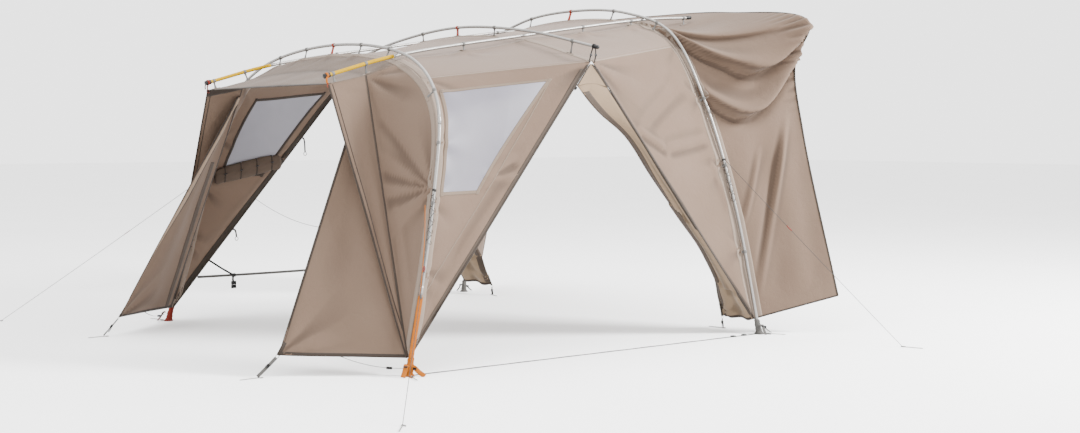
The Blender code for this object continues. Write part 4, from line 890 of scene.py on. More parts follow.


# How far each point lies below its neighbours, as a share: the share of painted shade there
def paintedShadeMask(p, n):
    depth = np.zeros(p.shape[:2])
    for reach in (2, 4):
        for axis in (0, 1):
            q = np.moveaxis(p, axis, 0)
            last = len(q) - 1
            i = np.arange(len(q))
            apart = np.minimum(np.minimum(i, last - i), reach)
            sides = (q[i - apart] + q[i + apart]) / 2 - q
            depth += np.einsum("ijk,ijk->ij", np.moveaxis(sides, 0, axis), n)
    return np.clip(depth / paintedShadeDepth, 0, 1) ** 0.8


# Mesh of a panel. gap is a (v0, v1, u0, u1) window left open
def clothMesh(name, cloth, vs, us, finish, thick=panelThick, lift=0.0, gap=None):
    v, u = np.meshgrid(vs, us, indexing="ij")
    p = cloth.points(v, u, lift)
    rows, columns = v.shape
    along, down = runAlong(p, 1), runAlong(p, 0)
    along -= along[:, -1:] / 2
    uvs = np.stack([along, down], -1).reshape(-1, 2)
    n = cloth.normals(v, u)
    i, j = rows // 2, columns // 2
    turn = np.dot(np.cross(p[i, j] - p[i, j - 1], p[i, j] - p[i - 1, j]), n[i, j]) < 0
    faces = []
    for i in range(rows - 1):
        for j in range(columns - 1):
            if gap:
                cv, cu = (vs[i] + vs[i + 1]) / 2, (us[j] + us[j + 1]) / 2
                if gap[0] < cv < gap[1] and gap[2] < cu < gap[3]:
                    continue
            corner = i * columns + j
            face = [corner, corner + 1, corner + columns + 1, corner + columns]
            faces.append(face[::-1] if turn else face)
    made = buildMesh(name, p.reshape(-1, 3), faces, finish, uvs)
    # Painted shade for the cloth's colour: how deep each point lies in a hollow of the folds
    if min(rows, columns) > 20:
        made.data.attributes.new("hollow", "FLOAT", "POINT").data.foreach_set("value", paintedShadeMask(p, n).ravel())
    bm = bmesh.new()
    bm.from_mesh(made.data)
    bmesh.ops.remove_doubles(bm, verts=bm.verts, dist=1e-5)
    bmesh.ops.dissolve_degenerate(bm, edges=bm.edges, dist=1e-6)
    loose = [x for x in bm.verts if not x.link_faces]
    bmesh.ops.delete(bm, geom=loose, context="VERTS")
    made["cutArea"] = sum(f.calc_area() for f in bm.faces)
    made["cutSize"] = (float(np.max(np.ptp(along, axis=1))), float(np.max(down[-1])))
    bm.to_mesh(made.data)
    bm.free()
    wall = made.modifiers.new("wall", "SOLIDIFY")
    wall.thickness = thick
    wall.offset = 0
    return applyModifiers(made)


leastCut = 0.301  # the least share of its flat size that a cut sheet covers


def declareSheet(thing):
    width, length = thing["cutSize"]
    area = thing["cutArea"]
    while area > width * length:
        width *= 1.05
        length *= 1.05
    area = max(area, leastCut * width * length)


# Folds, each a height in metres over points


def creaseLine(p, a, b, width, height, taper=0.2):
    a, b = np.asarray(a, float), np.asarray(b, float)
    ab = b - a
    t = np.clip(np.sum((p - a) * ab, axis=-1) / np.dot(ab, ab), 0, 1)
    d = np.linalg.norm(p - (a + ab * t[..., None]), axis=-1)
    return height * bump(d, width) * smoothStep(t, 0, taper) * smoothStep(1 - t, 0, taper)


# Folds running out from a place, as where a tie or clip pulls
def pulls(p, centre, normal, count, height, near, far, phase=0.0):
    centre = np.asarray(centre, float)
    n = unit(normal)
    a = unit(np.cross(n, (0.31, 0.22, 0.93)))
    b = np.cross(n, a)
    d = p - centre
    angle = np.arctan2(d @ b, d @ a)
    r = np.linalg.norm(d, axis=-1)
    wave = np.cos(count * angle + phase + 0.6 * np.sin(2 * angle + phase))
    wave = np.sign(wave) * np.abs(wave) ** 0.8
    return height * wave * smoothStep(r, 0, near) * (1 - smoothStep(r, near, far))


# Slow unevenness of a hung panel
def drift(p, scale, height, phase=0.0):
    x, y, z = p[..., 0] / scale, p[..., 1] / scale, p[..., 2] / scale
    return height * (np.sin(x * 3.1 + y * 1.7 + phase) * np.sin(z * 2.3 - y * 0.9 + phase * 1.7)
                     + 0.5 * np.sin(z * 5.3 + x * 2.9 + phase * 2.3) * np.sin(y * 4.1 - x * 1.3 + phase))


def edgeFade(v, u, low):
    fade = 1
    for share in (u, 1 - u, v, 1 - v):
        fade = fade * smoothStep(share, 0, low)
    return fade


# The shelter's seam lines and corners

skinPlan = {
    "outerEaveUp": 1.81, "canopySeamSide": 0.87, "vanEaveSide": 1.12, "apex": (1.89, 1.50, 1.95),
    "eave": (3.54, 0.826, 1.77), "wingTop": (3.245, 0.811, 1.832), "tipSpread": 0.013,
    "baySag": 0.03, "wallHollow": 0.035, "shoulderShare": 3 / 14, "legShare": 11 / 14,
    "window": (6 / 11, 10 / 11, 1 / 6, 5 / 6),
}
# Window corners as shares of the wall's height and of its width from the leg: low and top at the leg,
# then low and top at the doorway
windowCorners = {
    "near": ((0.54, 0.13), (0.915, 0.08), (0.54, 0.57), (0.935, 0.775)),
    "far": ((0.56, 0.20), (0.905, 0.20), (0.56, 0.78), (0.915, 0.86)),
}
corners = {}
for name, side in bothSides.items():
    outerHem, vanHem = upStop(outerSkin, side, hemUp), upStop(vanSkin, side, hemUp)
    tip, vanTip = outerSkin.at(outerHem), vanSkin.at(vanHem)
    spread = skinPlan["tipSpread"]
    corners[name] = {
        "outerEave": upStop(outerSkin, side, skinPlan["outerEaveUp"]), "outerHem": outerHem, "vanHem": vanHem,
        "canopySeam": stopOn(outerSkin, side, lambda p: -abs(p[:, 1]), -skinPlan["canopySeamSide"]),
        "vanEave": stopOn(vanSkin, side, lambda p: -abs(p[:, 1]), -skinPlan["vanEaveSide"]),
        "doorOuter": tip - vec(spread, 0, 0), "doorVan": vanTip + vec(spread, 0, 0),
        "wingFoot": tip + vec(spread, side * 0.004, 0), "eaveFoot": tip + vec(2 * spread, side * 0.006, 0),
        **{key: onSide(skinPlan[key], side) for key in ("apex", "wingTop", "eave")},
    }


def outerLeg(name, v):
    c = corners[name]
    return outerSkin.at(c["outerHem"] + (c["outerEave"] - c["outerHem"]) * v)


def vanLeg(name, v):
    c = corners[name]
    return vanSkin.at(c["vanHem"] + (c["vanEave"] - c["vanHem"]) * v)


# Sections over the roof, from the near side (0) to the far side (1)
def outerSection(t):
    n, f = corners["near"], corners["far"]
    k = skinPlan["shoulderShare"]
    s = np.interp(t, [0, k, 1 - k, 1], [n["outerEave"], n["canopySeam"], f["canopySeam"], f["outerEave"]])
    return outerSkin.at(s)


def middleSection(t):
    return middleSkin.at(middleSkin.length * (1 - t))


def vanSection(t):
    near, far = (corners[name]["vanEave"] for name in bothSides)
    return vanSkin.at(near + (far - near) * t)


def roofBase(v, u):
    front = v <= 0.5
    share = np.where(front, v * 2, v * 2 - 1)
    a, m, b = outerSection(u), middleSection(u), vanSection(u)
    p = np.where(front[..., None], lerp(a, m, share), lerp(m, b, share))
    p[..., 2] -= skinPlan["baySag"] * 4 * share * (1 - share) * np.sin(math.pi * u)
    return p


topShare = ((skinPlan["eave"][0] - skinPlan["wingTop"][0])
            / (skinPlan["eave"][0] - centreOut - outerSection(np.array(skinPlan["shoulderShare"]))[0]))


def canopyBase(v, u):
    n, f = corners["near"], corners["far"]
    front = lerp(n["eave"], f["eave"], u)
    k = skinPlan["shoulderShare"]
    back = outerSection(k + (1 - 2 * k) * u)
    backNear, backFar = outerSection(np.array(k)), outerSection(np.array(1 - k))
    wing = lerp(front, back, np.full_like(u, topShare))
    nearGap = n["wingTop"] - lerp(n["eave"], backNear, topShare)
    farGap = f["wingTop"] - lerp(f["eave"], backFar, topShare)
    wing[..., 2] += nearGap[2]
    for gap, share in ((nearGap, u), (farGap, 1 - u)):
        wing[..., :2] += gap[:2] * np.clip(1 - share * 8, 0, 1)[..., None]
    half = v <= 1 / 3
    share = np.where(half, v * 3, (v - 1 / 3) * 1.5)
    return np.where(half[..., None], lerp(front, wing, share), lerp(wing, back, share))


# The wall's own rows and columns gather round its window
def windowShare(name, v, u):
    v0, v1, u0, u1 = skinPlan["window"]
    lowLeg, topLeg, lowDoor, topDoor = (np.array(q) for q in windowCorners[name])
    t, s = np.clip((v - v0) / (v1 - v0), 0, 1), np.clip((u - u0) / (u1 - u0), 0, 1)
    spot = lerp(lerp(lowLeg, lowDoor, s), lerp(topLeg, topDoor, s), t)
    for edge, gone in ((0, 1 - v / v0), (1, (v - v1) / (1 - v1))):
        spot = lerp(spot, np.stack([np.full_like(u, edge), u], -1), np.clip(gone, 0, 1))
    for edge, gone in ((0, 1 - u / u0), (1, (u - u1) / (1 - u1))):
        spot = lerp(spot, np.stack([v, np.full_like(v, edge)], -1), np.clip(gone, 0, 1))
    return spot[..., 0], spot[..., 1]


def wallBase(name, which):
    side = bothSides[name]
    c = corners[name]

    def base(v, u):
        if which == "window":
            v, u = windowShare(name, *np.broadcast_arrays(np.asarray(v, float), np.asarray(u, float)))
        a = outerLeg(name, v) if which == "window" else vanLeg(name, v)
        b = lerp(c["doorOuter"] if which == "window" else c["doorVan"], c["apex"], v)
        p = lerp(a, b, u)
        depth = skinPlan["wallHollow"] * np.sin(math.pi * u) * np.sin(math.pi * np.minimum(1, v * 1.15))
        p[..., 1] -= side * depth * np.linalg.norm(b - a, axis=-1)
        return p

    return base


def shoulderLeg(name, v):
    c = corners[name]
    k = skinPlan["legShare"]
    s = np.interp(v, [0, k, 1], [c["outerHem"], c["outerEave"], c["canopySeam"]])
    return outerSkin.at(s)


def shoulderBase(name):
    c = corners[name]
    return lambda v, u: lerp(lerp(c["wingFoot"], c["wingTop"], v), shoulderLeg(name, v), u)


def cheekBase(name):
    c = corners[name]
    return lambda v, u: lerp(lerp(c["eaveFoot"], c["eave"], v), lerp(c["wingFoot"], c["wingTop"], v), u)


sleeveSpec = {
    "edge": [(0, 2.44), (1.0, 2.415), (1.83, 2.285), (1.70, 1.99), (1.778, 1.49), (2.128, 0.272)],
    "sag": 0.07,
    # Each swag is a line over the sleeve as (u, v), its height and the widths above and below the line
    "swags": [
        ([(0, 0.20), (0.3, 0.345), (0.6, 0.405), (0.85, 0.435), (1, 0.43)], 0.048, 0.040, 0.0115),
        ([(0, 0.30), (0.2, 0.406), (0.29, 0.452), (0.41, 0.482), (0.6, 0.496), (0.8, 0.498), (0.88, 0.484),
          (1, 0.462)], 0.128, 0.034, 0.0092),
        ([(0, 0.475), (0.07, 0.506), (0.226, 0.556), (0.4, 0.578), (0.58, 0.581), (0.79, 0.561), (1, 0.537)],
         0.118, 0.030, 0.0082),
    ],
    # Long folds towards the foot: ends as (out, side, up), width and height
    "folds": [
        ((0.085, 1.722, 1.70), (0.47, 1.755, 0.20), 0.026, 0.036),
        ((0.150, 1.722, 1.62), (0.52, 1.77, 0.28), 0.026, -0.026),
        ((0.323, 1.661, 1.40), (0.56, 1.68, 0.72), 0.022, 0.030),
        ((0.36, 1.66, 1.36), (0.585, 1.69, 0.66), 0.020, -0.022),
        ((0.03, 1.73, 1.45), (0.14, 1.80, 0.85), 0.024, 0.014),
        ((0.43, 1.62, 1.52), (0.62, 1.61, 1.12), 0.022, 0.012),
    ],
}
sleeveTracks = {n: Track([place(0, s * side, up) for s, up in sleeveSpec["edge"]])
                for n, side in bothSides.items()}
swagCurves = [np.poly1d(np.polyfit(*np.array(swag[0]).T, 4)) for swag in sleeveSpec["swags"]]


def sleeveBase(name):
    side = bothSides[name]
    c = corners[name]
    middle = vanSkin.where(lambda p: p[:, 1], 0.0)
    edge = sleeveTracks[name]

    def base(v, u):
        a = vanSkin.at(middle + (c["vanHem"] - middle) * v)
        p = lerp(a, edge.at(edge.length * v), u)
        p[..., 2] -= sleeveSpec["sag"] * (1 - smoothStep(v, 0.25, 0.42)) * np.sin(math.pi * u)
        out = np.stack([np.zeros_like(v), side * np.minimum(1, v * 2.6), np.maximum(0, 1 - v * 2.2)], -1)
        rise = np.zeros_like(v)
        fade = 0.35 + 0.65 * np.sin(math.pi * np.clip(0.1 + u * 0.86, 0, 1))
        for curve, (_, height, above, below) in zip(swagCurves, sleeveSpec["swags"]):
            d = v - curve(u)
            swag = bump(d, np.where(d < 0, above, below)) - 0.35 * bump(d - 2.4 * below, 1.6 * below)
            rise += height * fade * swag
        ends = smoothStep(u, 0, 0.03) * smoothStep(1 - u, 0, 0.03)
        return p + unit(out) * (rise * ends)[..., None]

    return base


print("surfaces set out")

# Clips, where the skin is held and folds start: out along a ridge pole, from the canopy arch's crown,
# and up each leg
clipPlaces = {
    "roof": (2.45, 1.35, 0.86), "canopy": (-0.72, -0.36, 0.0, 0.36, 0.72), "outer": (0.62, 1.03, 1.40),
    "van": (0.60, 1.23, 1.72),
}

# Folds of each panel


def roofFold(v, u, p):
    rise = drift(p, 0.9, 0.003)
    for x in (-0.2825, -1.42):
        rise += 0.004 * bump(p[..., 0] - x, 0.05)
    for side in (1, -1):
        rise += 0.007 * bump(p[..., 1] - side * ridgePole["side"], 0.035)
        for out in clipPlaces["roof"]:
            centre = place(out, side * ridgePole["side"], 2.15)
            d = np.linalg.norm((p - centre)[..., :2], axis=-1)
            rise += 0.012 * bump(d, 0.07)
            rise += pulls(p, centre, (0, 0, 1), 5, 0.0035, 0.05, 0.42, out * 3)
    return rise * edgeFade(v, u, 0.03)


def canopyFold(v, u, p):
    rise = drift(p, 0.7, 0.0025, 1.3)
    for offset in clipPlaces["canopy"]:
        centre = outerTrack.at(outerTrack.length / 2 + offset) + vec(0.02, 0, -0.07)
        d = np.linalg.norm(p - centre, axis=-1)
        rise += 0.009 * bump(d, 0.06)
        rise += pulls(p, centre, (0.3, 0, 1), 4, 0.003, 0.04, 0.32, offset * 5)
    rise += 0.006 * np.sin(math.pi * np.clip(v * 3, 0, 1)) * np.sin(math.pi * 4 * u) ** 2
    return rise * edgeFade(v, u, 0.04)


def windowWallFold(name):
    side = bothSides[name]
    c = corners[name]
    low, high = c["doorOuter"], c["apex"]
    top = outerLeg(name, np.array(1.0))
    base = wallBase(name, "window")

    def fold(v, u, p):
        rise = drift(p, 0.6, 0.004, 0.7 + side)
        rise += pulls(p, low, (0, side, 0), 9, 0.010, 0.15, 1.2, 0.4)
        rise += pulls(p, high, (0, side, 0.2), 7, 0.009, 0.10, 0.8, 1.0)
        rise += pulls(p, top, (0, side, 0.2), 6, 0.004, 0.08, 0.5, 2.0)
        for up in clipPlaces["outer"]:
            held = outerSkin.at(upStop(outerSkin, side, up))
            rise += pulls(p, held, (0, side, 0), 5, 0.0045, 0.03, 0.34, up * 4)
        corner = base(np.array([skinPlan["window"][0]]), np.array([skinPlan["window"][3]]))[0]
        for turn, height in ((0.00, 0.014), (0.09, -0.012), (0.18, 0.010)):
            start = corner + (-0.02, 0, 0.02 + turn * 0.4)
            rise += creaseLine(p, start, corner + (-0.34, side * 0.03, 0.26 - turn), 0.022, height)
        near = creaseLine(p, low + (0, 0, 0.10), lerp(low, high, np.array(0.82)) + (0.06, 0, 0), 0.035, 0.008)
        rise += near - creaseLine(p, low + (0.02, 0, 0.25), high + (0.28, 0, -0.35), 0.06, 0.009)
        return rise * edgeFade(v, u, 0.05)

    return fold


# Ends as (out, side, up), width and height
vanWallFolds = [
    ((1.52, 1.56, 1.50), (1.20, 1.54, 1.345), 0.034, 0.012),
    ((1.52, 1.57, 1.46), (1.19, 1.545, 1.30), 0.028, -0.009),
    ((1.22, 1.54, 1.345), (0.68, 1.47, 1.43), 0.034, 0.011),
    ((1.22, 1.55, 1.30), (0.68, 1.49, 1.385), 0.028, -0.009),
    ((0.69, 1.51, 1.30), (0.57, 1.63, 0.86), 0.026, -0.008),
    ((0.73, 1.51, 1.30), (0.61, 1.63, 0.86), 0.026, 0.008),
    ((0.76, 1.28, 1.90), (1.50, 1.54, 1.48), 0.045, 0.008),
    ((0.72, 1.34, 1.80), (1.40, 1.54, 1.47), 0.040, -0.005),
]


def vanWallFold(name):
    side = bothSides[name]
    c = corners[name]
    low, high = c["doorVan"], c["apex"]
    top = vanLeg(name, np.array(1.0))

    def fold(v, u, p):
        rise = drift(p, 0.55, 0.004, 2.1 + side)
        rise += pulls(p, low, (0, side, 0), 9, 0.009, 0.12, 1.3, 0.9)
        rise += pulls(p, high, (0, side, 0.2), 8, 0.010, 0.08, 0.9, 0.2)
        rise += pulls(p, top, (0, side, 0.2), 6, 0.006, 0.06, 0.55, 1.1)
        for up in clipPlaces["van"]:
            held = vanSkin.at(upStop(vanSkin, side, up))
            rise += pulls(p, held, (0, side, 0), 5, 0.005, 0.03, 0.36, up * 5)
        for start, end, width, height in vanWallFolds:
            rise += creaseLine(p, onSide(start, side), onSide(end, side), width, height)
        return rise * edgeFade(v, u, 0.05)

    return fold


def shoulderFold(name):
    side = bothSides[name]
    c = corners[name]
    grip = outerSkin.at(upStop(outerSkin, side, 1.12))

    def fold(v, u, p):
        rise = drift(p, 0.5, 0.003, 3.0 + side)
        rise += pulls(p, grip, (0.5, side, 0), 9, 0.0085, 0.05, 0.78, 0.6)
        rise += pulls(p, c["wingTop"], (0.4, side, 0.2), 7, 0.008, 0.08, 0.6, 0.2)
        rise += pulls(p, c["wingFoot"], (0.4, side, 0), 9, 0.006, 0.12, 0.9, 1.4)
        rise += creaseLine(p, c["wingFoot"] + (0, 0, 0.15), c["wingTop"] + (-0.12, side * 0.1, -0.1), 0.03,
                           0.007)
        rise -= creaseLine(p, grip + (0.05, 0, 0.03), c["wingTop"] + (-0.02, side * 0.08, -0.25), 0.03, 0.007)
        return rise * edgeFade(v, u, 0.06)

    return fold


def cheekFold(name):
    side = bothSides[name]
    c = corners[name]

    def fold(v, u, p):
        rise = drift(p, 0.5, 0.003, 4.0 + side)
        rise += 0.006 * np.sin(2 * math.pi * (u * 1.5 + 0.15)) * np.sin(math.pi * v)
        rise += pulls(p, c["eave"], (1, side * 0.2, 0), 6, 0.004, 0.05, 0.5, 0.0)
        return rise * edgeFade(v, u, 0.06)

    return fold


def sleeveFold(name):
    side = bothSides[name]

    def fold(v, u, p):
        rise = drift(p, 0.35, 0.003, 5.0 + side)
        gather = smoothStep(u, 0.70, 0.96) * bump(v - 0.495, 0.075)
        rise += 0.015 * gather * np.sin(2 * math.pi * (v * 52 + 0.35 * np.sin(11 * u)))
        for start, end, width, height in sleeveSpec["folds"]:
            rise += creaseLine(p, onSide(start, side), onSide(end, side), width, height, 0.3)
        lower = smoothStep(v, 0.56, 0.7) * (1 - smoothStep(v, 0.93, 1.0))
        rise += 0.006 * np.sin(2 * math.pi * (u * 2.2 + 0.9 * v) + 0.5) * lower * smoothStep(u, 0.0, 0.12)
        return rise * edgeFade(v, u, 0.03)

    return fold


# Panels

meshStep = {"roof": 0.026, "wall": 0.020, "sleeve": 0.0125}
panels = {}


def spansFor(cloth, step, gapRows=None, gapColumns=None):
    ends = np.linspace(0, 1, 21)
    across = max(runAlong(cloth.base(np.full(21, k), ends))[-1] for k in (0.2, 0.6, 1.0))
    down = max(runAlong(cloth.base(ends, np.full(21, k)))[-1] for k in (0.0, 0.5, 1.0))

    def split(total, stops):
        stops = [0] + list(stops or []) + [1]
        return spans(*[(a, b, max(2, math.ceil((b - a) * total / step))) for a, b in zip(stops, stops[1:])])

    return split(down, gapRows), split(across, gapColumns)


def makePanel(name, cloth, step="wall", finish="canvas", node=None, gap=None,
              stops=()):
    vs, us = spansFor(cloth, meshStep[step], (gap[:2] if gap else stops), (gap[2:] if gap else None))
    made = clothMesh(name, cloth, vs, us, finish, gap=gap)
    dressed(made, "shelter", *([nodeOf(name)] if node is None else [node] if node else []))
    declareSheet(made)
    panels[name] = cloth


roofCloth = Cloth(roofBase, roofFold)
canopyCloth = Cloth(canopyBase, canopyFold, (0.3, 0, 1))
makePanel("roofPanel", roofCloth, "roof", "roofCanvas", "roof",
          stops=(0.5,))
makePanel("canopyPanel", canopyCloth, "wall", "canopyCanvas", "front_canopy",
          stops=(1 / 3,))
for name, side in bothSides.items():
    out = (0, side, 0.1)
    wall = Cloth(wallBase(name, "window"), windowWallFold(name), out)
    makePanel(name + "WindowWall", wall, gap=skinPlan["window"])
    back = Cloth(wallBase(name, "van"), vanWallFold(name), out)
    makePanel(name + "VanWall", back)
    shoulder = Cloth(shoulderBase(name), shoulderFold(name), (0.6, side, 0.2))
    makePanel(name + "Shoulder", shoulder, node=name + "_front_corner")
    cheek = Cloth(cheekBase(name), cheekFold(name), (1, side * 0.3, 0.1))
    makePanel(name + "Cheek", cheek, node="")
    sleeve = Cloth(sleeveBase(name), sleeveFold(name), (0, side, 1))
    makePanel(name + "Sleeve", sleeve, "sleeve")
print("panels made")

# Wings and door leaves, sheets hinged at their seams on the awning, each made in place of its own CAD node

doorTopSpec = {"lowUp": 1.775, "gap": 0.004, "sag": 0.02}
leafSpec = {
    "wing": {"peg": (4.225, 1.12), "cornerUp": 0.13, "gap": 0.0016, "belly": 0.015, "tipShare": 0.06,
             "inset": 0.075},
    "door": {"peg": (0.455, 1.40), "cornerUp": 0.09, "gap": 0.0009, "belly": 0.02, "inset": 0.0},
}
leafEdge = [  # the rolled-back edge as (out, side, up)
    (2.026, 1.508, 1.785), (1.932, 1.504, 1.692), (1.815, 1.498, 1.599), (1.563, 1.487, 1.439),
    (1.294, 1.469, 1.160), (1.013, 1.451, 0.884), (0.767, 1.436, 0.642), (0.576, 1.420, 0.395),
    (0.520, 1.410, 0.242), (0.455, 1.400, 0.090),
]


def leafBase(kind, name):
    side = bothSides[name]
    c, spec = corners[name], leafSpec[kind]
    pegPoint = onSide((*spec["peg"], 0), side)
    if kind == "wing":
        top, low = c["wingTop"] + vec(0, 0, -0.004), c["wingFoot"]
        share = 1 - spec["cornerUp"] / c["wingTop"][2]
    else:
        top, low = c["apex"] * 0.98 + c["doorVan"] * 0.02, c["doorVan"]
        share = 1 - spec["cornerUp"] / top[2]
    corner = top + (pegPoint - top) * share
    corner = corner + unit(low - corner) * spec["inset"]
    hinge = unit(low - top)
    inward = unit(corner - top - hinge * np.dot(corner - top, hinge))

    def doorBase(v, u):
        share = 1 - seamShare(leafEdge[0][2])
        w = share + (1 - share) * v
        a, b = lerp(c["apex"], low, w) + inward * spec["gap"], free.at(free.length * v)
        p = lerp(a, b, u)
        depth = spec["belly"] * np.sin(math.pi * u) * np.sin(math.pi * np.minimum(1, v * 1.05))
        p = p + unit((0.6, side * 0.6, 0)) * (depth * np.linalg.norm(b - a, axis=-1))[..., None]
        p[..., 2] += doorTopSpec["sag"] * np.sin(math.pi * u) * (1 - v) ** 8
        p[..., 1] -= side * 0.006 * (1 - v) ** 12
        return p

    if kind == "door":
        free = Track([onSide(spot, side) for spot in leafEdge])
        return doorBase, top, low, corner, pegPoint

    def base(v, u):
        w = spec["tipShare"] + (1 - spec["tipShare"]) * v
        a = lerp(top, low, w) + inward * spec["gap"]
        b = lerp(top, corner, w) + (spec["gap"] * (1 - w))[..., None] * inward
        p = lerp(a, b, u)
        depth = spec["belly"] * np.sin(math.pi * u) * np.sin(math.pi * np.minimum(1, w * 1.05))
        return p + vec(0.2, side, 0) * (depth * np.linalg.norm(b - a, axis=-1))[..., None]

    return base, top, low, corner, pegPoint


def leafFold(kind, name, top, low, corner):
    side = bothSides[name]
    n = np.cross(low - top, corner - top)

    def fold(v, u, p):
        rise = drift(p, 0.4, 0.003, 6.0 + side)
        rise += pulls(p, top, n, 16, 0.006, 0.25, 1.9, 0.3)
        rise += pulls(p, corner, n, 8, 0.006, 0.06, 0.7, 1.1)
        if kind == "wing":
            lower = smoothStep(v, 0.2, 0.7) * (1 - smoothStep(v, 0.9, 1.0))
            rise += 0.010 * np.sin(2 * math.pi * (u * 1.3 - 0.1)) * lower
        else:
            rise += 0.012 * np.sin(2 * math.pi * (u * 1.6 + 0.1)) * smoothStep(v, 0.15, 0.6)
        return rise * smoothStep(u, 0, 0.12) * smoothStep(1 - u, 0, 0.04) * smoothStep(v, 0, 0.05)

    return fold


leaves = {}
for kind, word in (("wing", "FrontWing"), ("door", "DoorLeaf")):
    for name, side in bothSides.items():
        base, top, low, corner, pegPoint = leafBase(kind, name)
        outward = (1, side, 0) if kind == "wing" else (0.4, side, 0)
        cloth = Cloth(base, leafFold(kind, name, top, low, corner), outward)
        vs, us = spansFor(cloth, 0.018)
        made = clothMesh(name + word, cloth, vs, us, "canvas" if kind == "wing" else "doorCanvas")
        body = nodeOf(name + word)
        dressed(made, body, body)
        declareSheet(made)
        leaves[name + word] = (cloth, body, top, low, corner, pegPoint)

# The doorway's top stays zipped shut
for name, side in bothSides.items():
    c = corners[name]

    def doorTop(v, u, c=c, side=side):
        w = 0.988 + (seamShare(doorTopSpec["lowUp"]) - 0.988) * v
        a, b = lerp(c["doorOuter"], c["apex"], w), lerp(c["doorVan"], c["apex"], w)
        inset = vec(doorTopSpec["gap"], 0, 0) * np.sign(b - a)[..., 0:1]
        p = lerp(a + inset, b - inset, u)
        p[..., 2] += doorTopSpec["sag"] * np.sin(math.pi * u) * v
        p[..., 1] -= side * 0.006 * np.sin(math.pi * u)
        return p

    cloth, t = Cloth(doorTop, lambda v, u, p: drift(p, 0.12, 0.0012), (0, side, 0.1)), np.linspace(0, 1, 24)
    made = clothMesh(name + "DoorTop", cloth, t, t, "doorCanvas")
    dressed(made)
    declareSheet(made)
    panels[name + "DoorTop"] = cloth
print("wings and door leaves made")

# Window film and its frame

for name, side in bothSides.items():
    cloth = panels[name + "WindowWall"]
    v0, v1, u0, u1 = skinPlan["window"]
    more = 0.008
    vs, us = np.linspace(v0 - more, v1 + more, 40), np.linspace(u0 - more, u1 + more, 44)
    film = clothMesh(name + "WindowFilm", cloth, vs, us, "windowFilm", thick=0.0006)
    dressed(film, "shelter", name + "_window")
    declareSheet(film)

# Poles, their ferrules, caps and feet

poleStops = {
    "foot": 0.0148, "footPole": 0.48, "outerLeg": 1.52, "vanLeg": 1.62, "ridgeColourOut": 3.03, "gap": 0.0004,
}


# Pole between two stops, with ferrules at the ends named (0 the start, 1 the other one)
def poleRun(name, track, s0, s1, ferrules=(), finish="poleGrey", wide=poleSpec["radius"], node=None):
    s = np.linspace(s0, s1, max(6, math.ceil(abs(s1 - s0) / 0.02)))
    length, lip = poleSpec["ferruleLength"], 0.0015
    sign = 1 if s1 > s0 else -1
    extra = [(s0, s1)[end] + sign * (1, -1)[end] * far for end in ferrules for far in (length, length + lip)]
    s = np.array(sorted([*s, *extra], reverse=sign < 0))
    points = track.at(s)
    radius = np.full(len(s), wide)
    for end in ferrules:
        radius[np.abs(s - (s0, s1)[end]) <= length + 1e-9] = poleSpec["ferrule"]
    keep = np.concatenate(([True], np.linalg.norm(np.diff(points, axis=0), axis=1) > 5e-4))
    dressed(tubeMesh(name, points[keep], radius[keep], finish, 20), "shelter", node or nodeOf(name))


crownEnds = {}
for name, side in bothSides.items():
    foot, footTop, legTop = (upStop(outerTrack, side, poleStops[key])
                             for key in ("foot", "footPole", "outerLeg"))
    gap = -poleStops["gap"] * side
    poleRun(name + "FootPole", outerTrack, foot, footTop, finish="poleOrange")
    poleRun(name + "OuterLeg", outerTrack, footTop + gap, legTop, (0,))
    foot, vanTop = (upStop(vanTrack, side, poleStops[key]) for key in ("foot", "vanLeg"))
    poleRun(name + "VanLeg", vanTrack, foot, vanTop)
    crownEnds[name] = (legTop + gap, vanTop + gap)
    ridge = ridgeTracks[name]
    change = outStop(ridge, poleStops["ridgeColourOut"])
    poleRun(name + "RidgeTip", ridge, 0, change, (), "poleYellow", poleSpec["tipRadius"],
            name + "_ridge_tip_pole")
    poleRun(name + "RidgePole", ridge, change + poleStops["gap"], ridge.length, (0,))
near, far = crownEnds["near"], crownEnds["far"]
poleRun("outerArchCrown", outerTrack, near[0], far[0], (0, 1))
poleRun("vanArchCrown", vanTrack, near[1], far[1], (0, 1))
poleRun("middlePole", middleTrack, 0, middleTrack.length, (0, 1))

capSpec = {"inner": 0.0104, "wall": 0.0032, "length": 0.034, "headLength": 0.012, "tailLength": 0.02}


def polePlug(name, end, outward, tail, more=0.0):
    inner, outer = capSpec["inner"] + more, capSpec["inner"] + capSpec["wall"] + more
    long = capSpec["length"]
    profile = [(0, 0.0006), (inner, 0.0006), (inner, -long), (outer - 0.0006, -long), (outer, -long + 0.0008)]
    for k in range(4):
        h, ridge = -long + 0.006 + k * 0.006, outer + 0.0007
        profile += [(outer, h), (ridge, h + 0.0012), (ridge, h + 0.0024), (outer, h + 0.0036)]
    profile += [(outer, tail * 0.55), (outer * 0.93, tail * 0.8), (outer * 0.7, tail), (0, tail)]
    return latheMesh(name, profile, end, outward, "blackPlastic")


for name in bothSides:
    ridge = ridgeTracks[name]
    standsFor(polePlug(name + "RidgeCap", ridge.at(0), -ridge.along(0.004), capSpec["headLength"], 0.0026))
    end = ridge.length
    standsFor(polePlug(name + "RidgeTail", ridge.at(end), ridge.along(end - 0.004), capSpec["tailLength"]))

footSpec = {"height": 0.105, "top": 0.0225, "base": 0.036, "tabLength": 0.05, "tabWidth": 0.024,
            "tabThick": 0.003}


